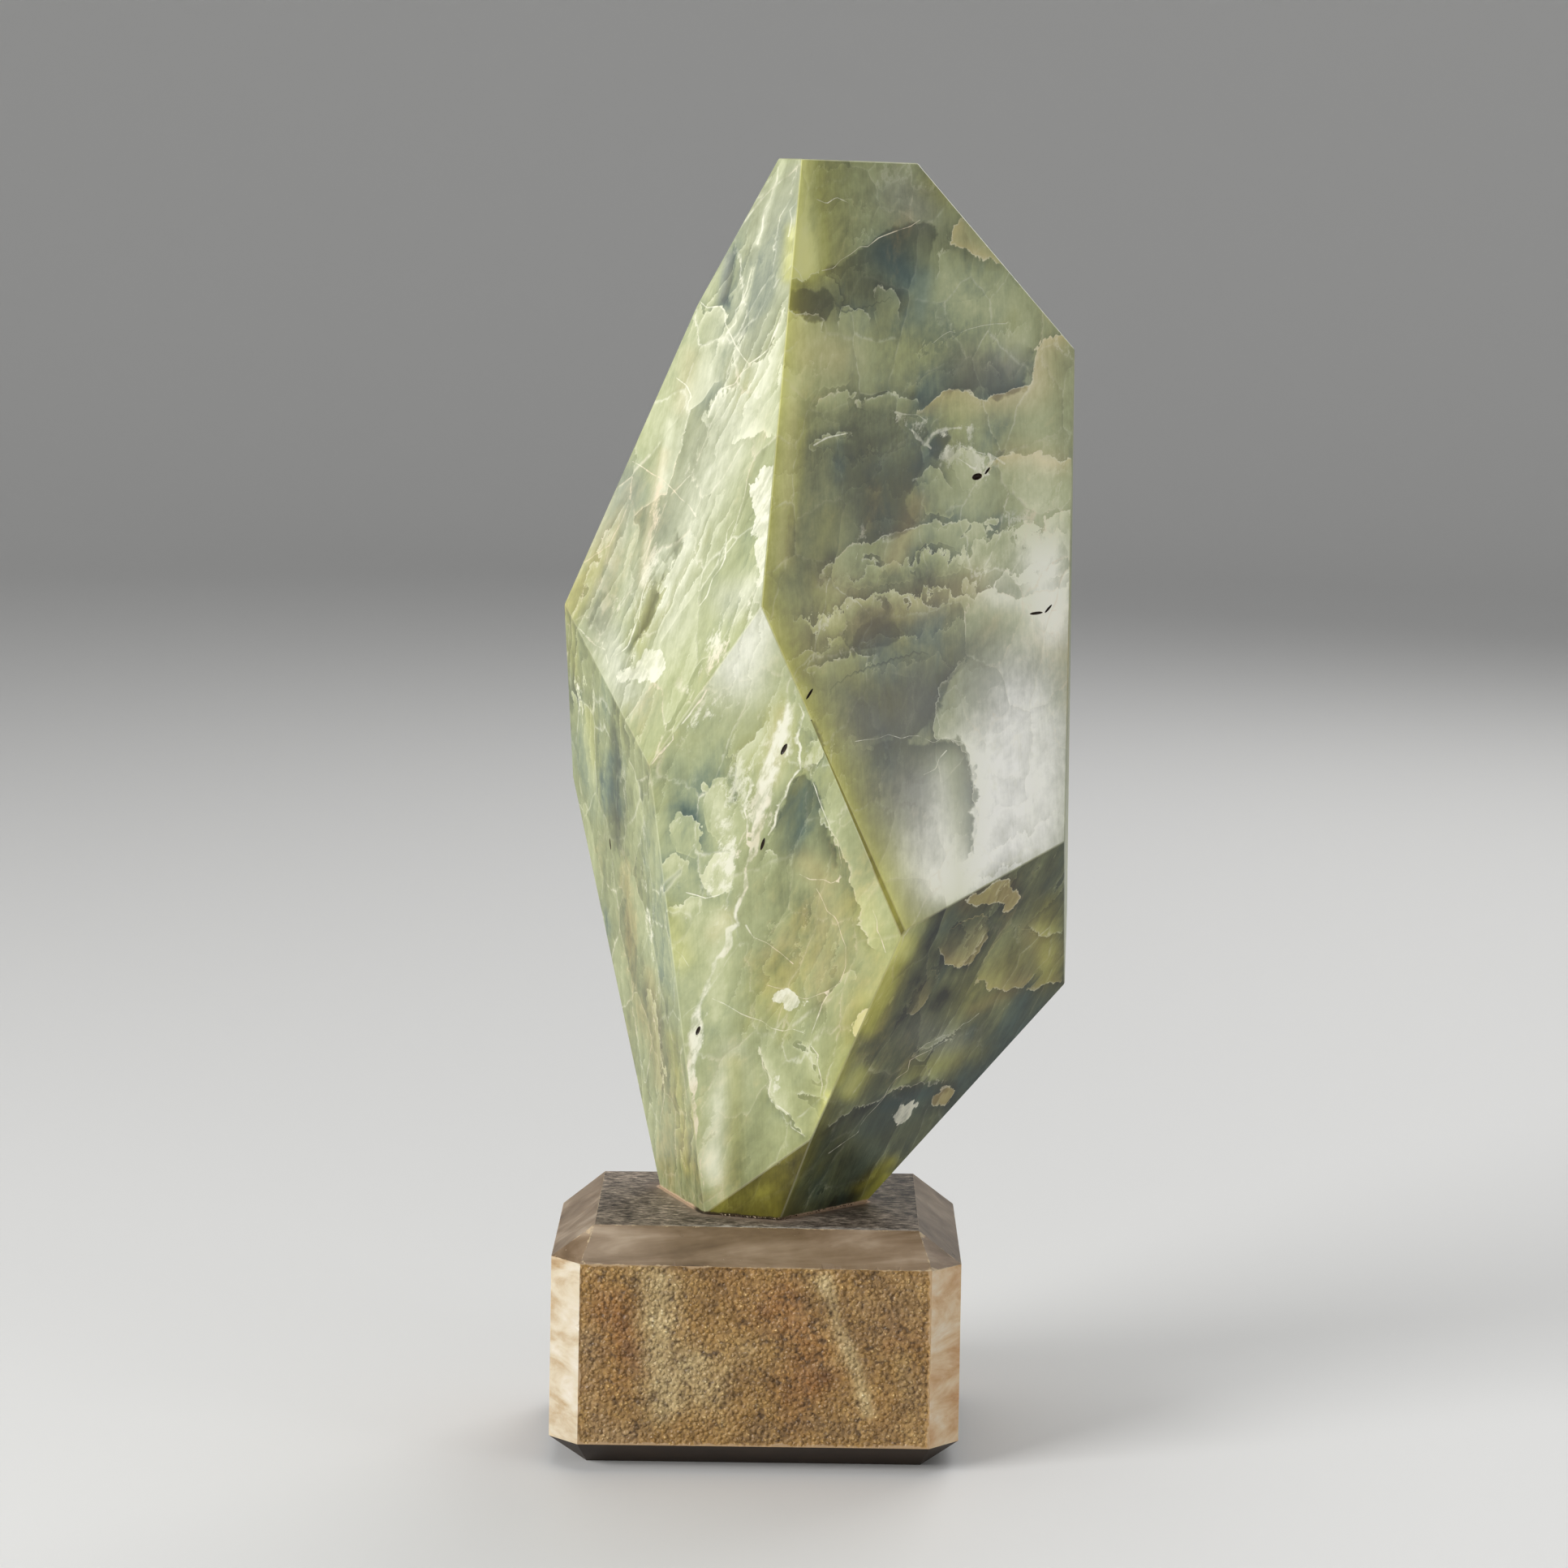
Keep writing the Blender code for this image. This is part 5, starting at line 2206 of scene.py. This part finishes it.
@dataclass
class SeamCrumbs:
    """Crumbs of stone caught in the gap at the front of the seam.

    Attributes:
        left: where the crumbs begin.
        right: where they end.
        ahead: how far they lie in front of the socket's rim.
        count: how many there are.
        smallest: radius of the smallest.
        largest: radius of the largest.
        scatter: how far they stray from the seam.
        seed: picks the pattern.
    """

    left: float = -0.014
    right: float = 0.036
    ahead: float = 0.0004
    count: int = 150
    smallest: float = 0.00012
    largest: float = 0.00048
    scatter: float = 0.0016
    seed: int = 11

    def build(self) -> bpy.types.Object:
        """Scatter the crumbs.

        Returns:
            The finished object.
        """
        rim = StoneBase.socket_rim()
        front = rim[rim[:, 1] < rim[:, 1].mean()]
        front = front[np.argsort(front[:, 0])]
        across = np.linspace(self.left, self.right, self.count)
        level = np.full(self.count, seat_height())
        places = np.stack([across, np.interp(across, front[:, 0], front[:, 1]) - self.ahead, level], 1)
        recipe = Recipe(
            "seam_crumbs",
            {
                "Smallest": self.smallest,
                "Largest": self.largest,
                "Scatter": self.scatter,
                "Seed": self.seed,
                "Finish": CrumbFinish().build(),
            },
        )
        return recipe.run(new_mesh("seam_crumbs", places, []), self.scattered(recipe))

    @staticmethod
    def scattered(recipe: Recipe) -> Signal:
        """Wire the crumbs, each turned, stretched and sized by chance.

        Args:
            recipe: the tree to wire them on.

        Returns:
            The crumbs.
        """
        board = recipe.board

        def chance(low: Colour, high: Colour, turn: float) -> Signal:
            """Draw a vector for each crumb."""
            feeds = {0: low, 1: high, "Seed": recipe.given("Seed") + turn}
            return board.read(board.node("FunctionNodeRandomValue", feeds, data_type="FLOAT_VECTOR"))

        dots = board.read(board.node("GeometryNodeMeshToPoints", {"Mesh": recipe.given("Geometry")}))
        stray = board.scale(chance((-1.0, -1.0, -0.05), (1.0, 0.3, 0.15), 0.0), recipe.given("Scatter"))
        strayed = board.read(board.node("GeometryNodeSetPosition", {"Geometry": dots, "Offset": stray}))
        crumb = board.read(board.node("GeometryNodeMeshIcoSphere", {"Radius": 1.0, "Subdivisions": 1}))
        skew = board.dot(chance((0.0, 0.0, 0.0), ACROSS, 2.0), ACROSS) ** 3.0
        size = recipe.given("Smallest") + (recipe.given("Largest") - recipe.given("Smallest")) * skew
        feeds = {
            "Points": strayed,
            "Instance": crumb,
            "Rotation": chance((0.0, 0.0, 0.0), (6.0, 6.0, 6.0), 1.0),
            "Scale": board.scale(chance((0.6, 0.6, 0.4), (1.5, 1.0, 0.8), 3.0), size),
        }
        return board.read(board.node("GeometryNodeInstanceOnPoints", feeds))


@dataclass(frozen=True)
class HammeredRelief:
    """Geometry nodes that dent the hammered faces with small rounded grains, ragged at the panel's edges.

    Attributes:
        grain: size of one grain.
        depth: depth of the deepest dents.
        seed: picks the pattern.
    """

    grain: float = 0.0015
    depth: float = 0.00070
    seed: float = 7.0

    def apply(self, base: bpy.types.Object, finish: bpy.types.Material) -> bpy.types.Object:
        """Dent the base.

        Args:
            base: the base, whose vertices know how far inside a panel they are, in millimetres.
            finish: the material of its hammered faces.

        Returns:
            The same object, with a plain dented mesh.
        """
        values = {"Grain size": self.grain, "Dent depth": self.depth, "Seed": self.seed, "Finish": finish}
        recipe = Recipe("hammered_relief", values)
        board = recipe.board
        place = board.read(board.node("GeometryNodeInputPosition"))
        feeds = {
            "Vector": place,
            "W": recipe.given("Seed"),
            "Scale": 1.0 / recipe.given("Grain size"),
            "Smoothness": 0.35,
        }
        grains = board.node("ShaderNodeTexVoronoi", feeds, voronoi_dimensions="4D", feature="SMOOTH_F1")
        swell = board.noise(place, 80.0, 2.0) * 0.30
        crinkle = board.noise(place, 300.0, 4.0, 0.7) * 0.8
        dent = board.grade(board.read(grains, "Distance") * 0.70 + (swell + crinkle), 0.55, 1.25)
        margin = self.named(board, "strike")
        struck = board.grade(margin + board.noise(place, 230.0, 3.0, 0.6) * 3.4, 2.2, 3.0)
        struck = struck * board.grade(margin, 0.0, 0.5)
        dent = (dent * 0.85 + 0.15) * struck
        kept = recipe.given("Geometry")
        for name, value in (("dent", dent), ("struck", struck)):
            feeds = {"Geometry": kept, "Name": name, "Value": value}
            kept = board.read(
                board.node("GeometryNodeStoreNamedAttribute", feeds, data_type="FLOAT", domain="POINT")
            )
        inwards = board.scale(
            board.read(board.node("GeometryNodeInputNormal")), dent * recipe.given("Dent depth") * -1.0
        )
        moved = board.read(board.node("GeometryNodeSetPosition", {"Geometry": kept, "Offset": inwards}))
        return recipe.run(base, moved, board.math("GREATER_THAN", self.named(board, "hammered"), 0.5))

    @staticmethod
    def named(board: Board, name: str) -> Signal:
        """Read a number stored on the mesh, in a geometry tree."""
        made = board.node("GeometryNodeInputNamedAttribute", {"Name": name}, data_type="FLOAT")
        return board.read(made, "Attribute")


@dataclass(frozen=True)
class Softbox:
    """A studio light.

    Attributes:
        name: its name.
        place: where it stands.
        target: what it points at.
        size: its width and height.
        power: in watts.
        colour: its colour.
    """

    name: str
    place: tuple[float, float, float]
    target: tuple[float, float, float]
    size: tuple[float, float]
    power: float
    colour: Colour = (1.0, 1.0, 1.0)

    def build(self) -> bpy.types.Object:
        """Set the light up.

        Returns:
            The light.
        """
        lamp = bpy.data.lights.new(self.name, "AREA")
        lamp.shape = "RECTANGLE"
        lamp.size, lamp.size_y = self.size
        lamp.energy = self.power
        lamp.color = self.colour
        made = new_object(self.name, lamp)
        made.location = self.place
        aim = Vector(self.target) - Vector(self.place)
        made.rotation_euler = aim.to_track_quat("-Z", "Y").to_euler()
        made.visible_camera = False
        return made


@dataclass
class Studio:
    """A pale cove all round, four softboxes and the camera.

    Attributes:
        floor_radius: how far the flat floor reaches.
        cove_radius: radius of the curve from floor to wall.
        wall_height: height of the wall.
        lens: the camera's focal length, in millimetres.
        sensor: its sensor's width, in millimetres.
        eye: where the camera stands.
        yaw: its turn to the right, in radians.
        pitch: how far it looks down.
        roll: how far it leans.
    """

    floor_radius: float = 3.4
    cove_radius: float = 1.4
    wall_height: float = 3.6
    lens: float = 100.0
    sensor: float = 36.0
    eye: tuple[float, float, float] = (0.01285, -1.60011, 0.47678)
    yaw: float = -0.00319
    pitch: float = 0.14299
    roll: float = 0.01265
    lights: tuple[Softbox, ...] = (
        Softbox("key", (-1.75, -1.2, 1.05), (0.0, 0.0, 0.27), (1.1, 1.1), 50.0),
        Softbox("glare", (1.37, -0.83, 0.45), (0.08, -0.04, 0.25), (0.5, 0.6), 3.2),
        Softbox("overhead", (0.1, 0.3, 2.2), (0.0, 0.0, 0.2), (1.6, 1.6), 12.5),
        Softbox("back", (0.9, 1.7, 1.5), (0.0, 0.0, 0.25), (1.2, 1.2), 15.0),
    )

    def build(self) -> list[bpy.types.Object]:
        """Set the studio up.

        Returns:
            The stage pieces.
        """
        cove = self.build_cove()
        for light in self.lights:
            light.build()
        self.build_camera()
        world = bpy.data.worlds.new("studio_air")
        world.use_nodes = True
        air = world.node_tree.nodes["Background"]
        air.inputs["Color"].default_value = (0.95, 0.97, 1.0, 1.0)
        air.inputs["Strength"].default_value = 0.25
        bpy.context.scene.world = world
        bpy.context.scene.view_settings.view_transform = "Standard"
        return [cove]

    def build_cove(self) -> bpy.types.Object:
        """Turn the floor, its curve and the wall in one sweep.

        Returns:
            The cove.
        """
        turns, bends = 96, 16
        profile = [(0.0, 0.0), (0.4, 0.0), (self.floor_radius, 0.0)]
        for step in range(1, bends + 1):
            angle = math.pi / 2 * step / bends
            out = self.floor_radius + self.cove_radius * math.sin(angle)
            profile.append((out, self.cove_radius * (1 - math.cos(angle))))
        profile.append((self.floor_radius + self.cove_radius, self.wall_height))
        shape = bmesh.new()
        rings = []
        for radius, height in profile:
            if radius == 0.0:
                rings.append([shape.verts.new((0.0, 0.0, height))])
                continue
            angles = [2 * math.pi * turn / turns for turn in range(turns)]
            places = [(radius * math.cos(angle), radius * math.sin(angle), height) for angle in angles]
            rings.append([shape.verts.new(place) for place in places])
        for inner, outer in zip(rings, rings[1:]):
            for turn in range(turns):
                after = (turn + 1) % turns
                if len(inner) == 1:
                    shape.faces.new((inner[0], outer[turn], outer[after]))
                else:
                    shape.faces.new((inner[turn], outer[turn], outer[after], inner[after]))
        for piece in shape.faces:
            piece.smooth = True
        mesh = bpy.data.meshes.new("studio_cove")
        shape.to_mesh(mesh)
        shape.free()
        mesh.materials.append(PlainFinish("pale_paint", (0.74, 0.735, 0.72), 0.55).build())
        return new_object("studio_cove", mesh)

    def build_camera(self) -> bpy.types.Object:
        """Place the camera.

        Returns:
            The camera.
        """
        data = bpy.data.cameras.new("camera")
        data.lens, data.sensor_width = self.lens, self.sensor
        data.clip_start, data.clip_end = 0.05, 50.0
        camera = new_object("camera", data)
        ahead = Vector(
            (
                math.sin(self.yaw) * math.cos(self.pitch),
                math.cos(self.yaw) * math.cos(self.pitch),
                -math.sin(self.pitch),
            )
        )
        level = Vector((math.cos(self.yaw), -math.sin(self.yaw), 0.0))
        upright = level.cross(ahead)
        right = math.cos(self.roll) * level + math.sin(self.roll) * upright
        up = math.cos(self.roll) * upright - math.sin(self.roll) * level
        turn = Matrix((right, up, -ahead)).transposed().to_4x4()
        camera.matrix_world = Matrix.Translation(self.eye) @ turn
        bpy.context.scene.camera = camera
        return camera


def main() -> None:
    """Build the stones and the studio, and set each piece on the frame."""
    logging.basicConfig(level=logging.INFO, format="%(name)s: %(message)s")
    pieces = (
        (JadeBlock().build(), "jade_block", "nephrite_jade"),
        (StoneBase().build(), "stone_base", "base_stone"),
        (SeamCrumbs().build(), None, "base_stone"),
    )
    for piece, node, slot in pieces:
        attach(piece, "root")
        if node:
            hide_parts(node)
        count = len(piece.data.polygons)
        LOG.info("%s is built for %s with %d triangles", piece.name, node or "the seam", count)
    stage = Studio().build()
    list(stage)
    LOG.info("the studio has %d stage pieces", len(stage))


if __name__ == "__main__":
    main()
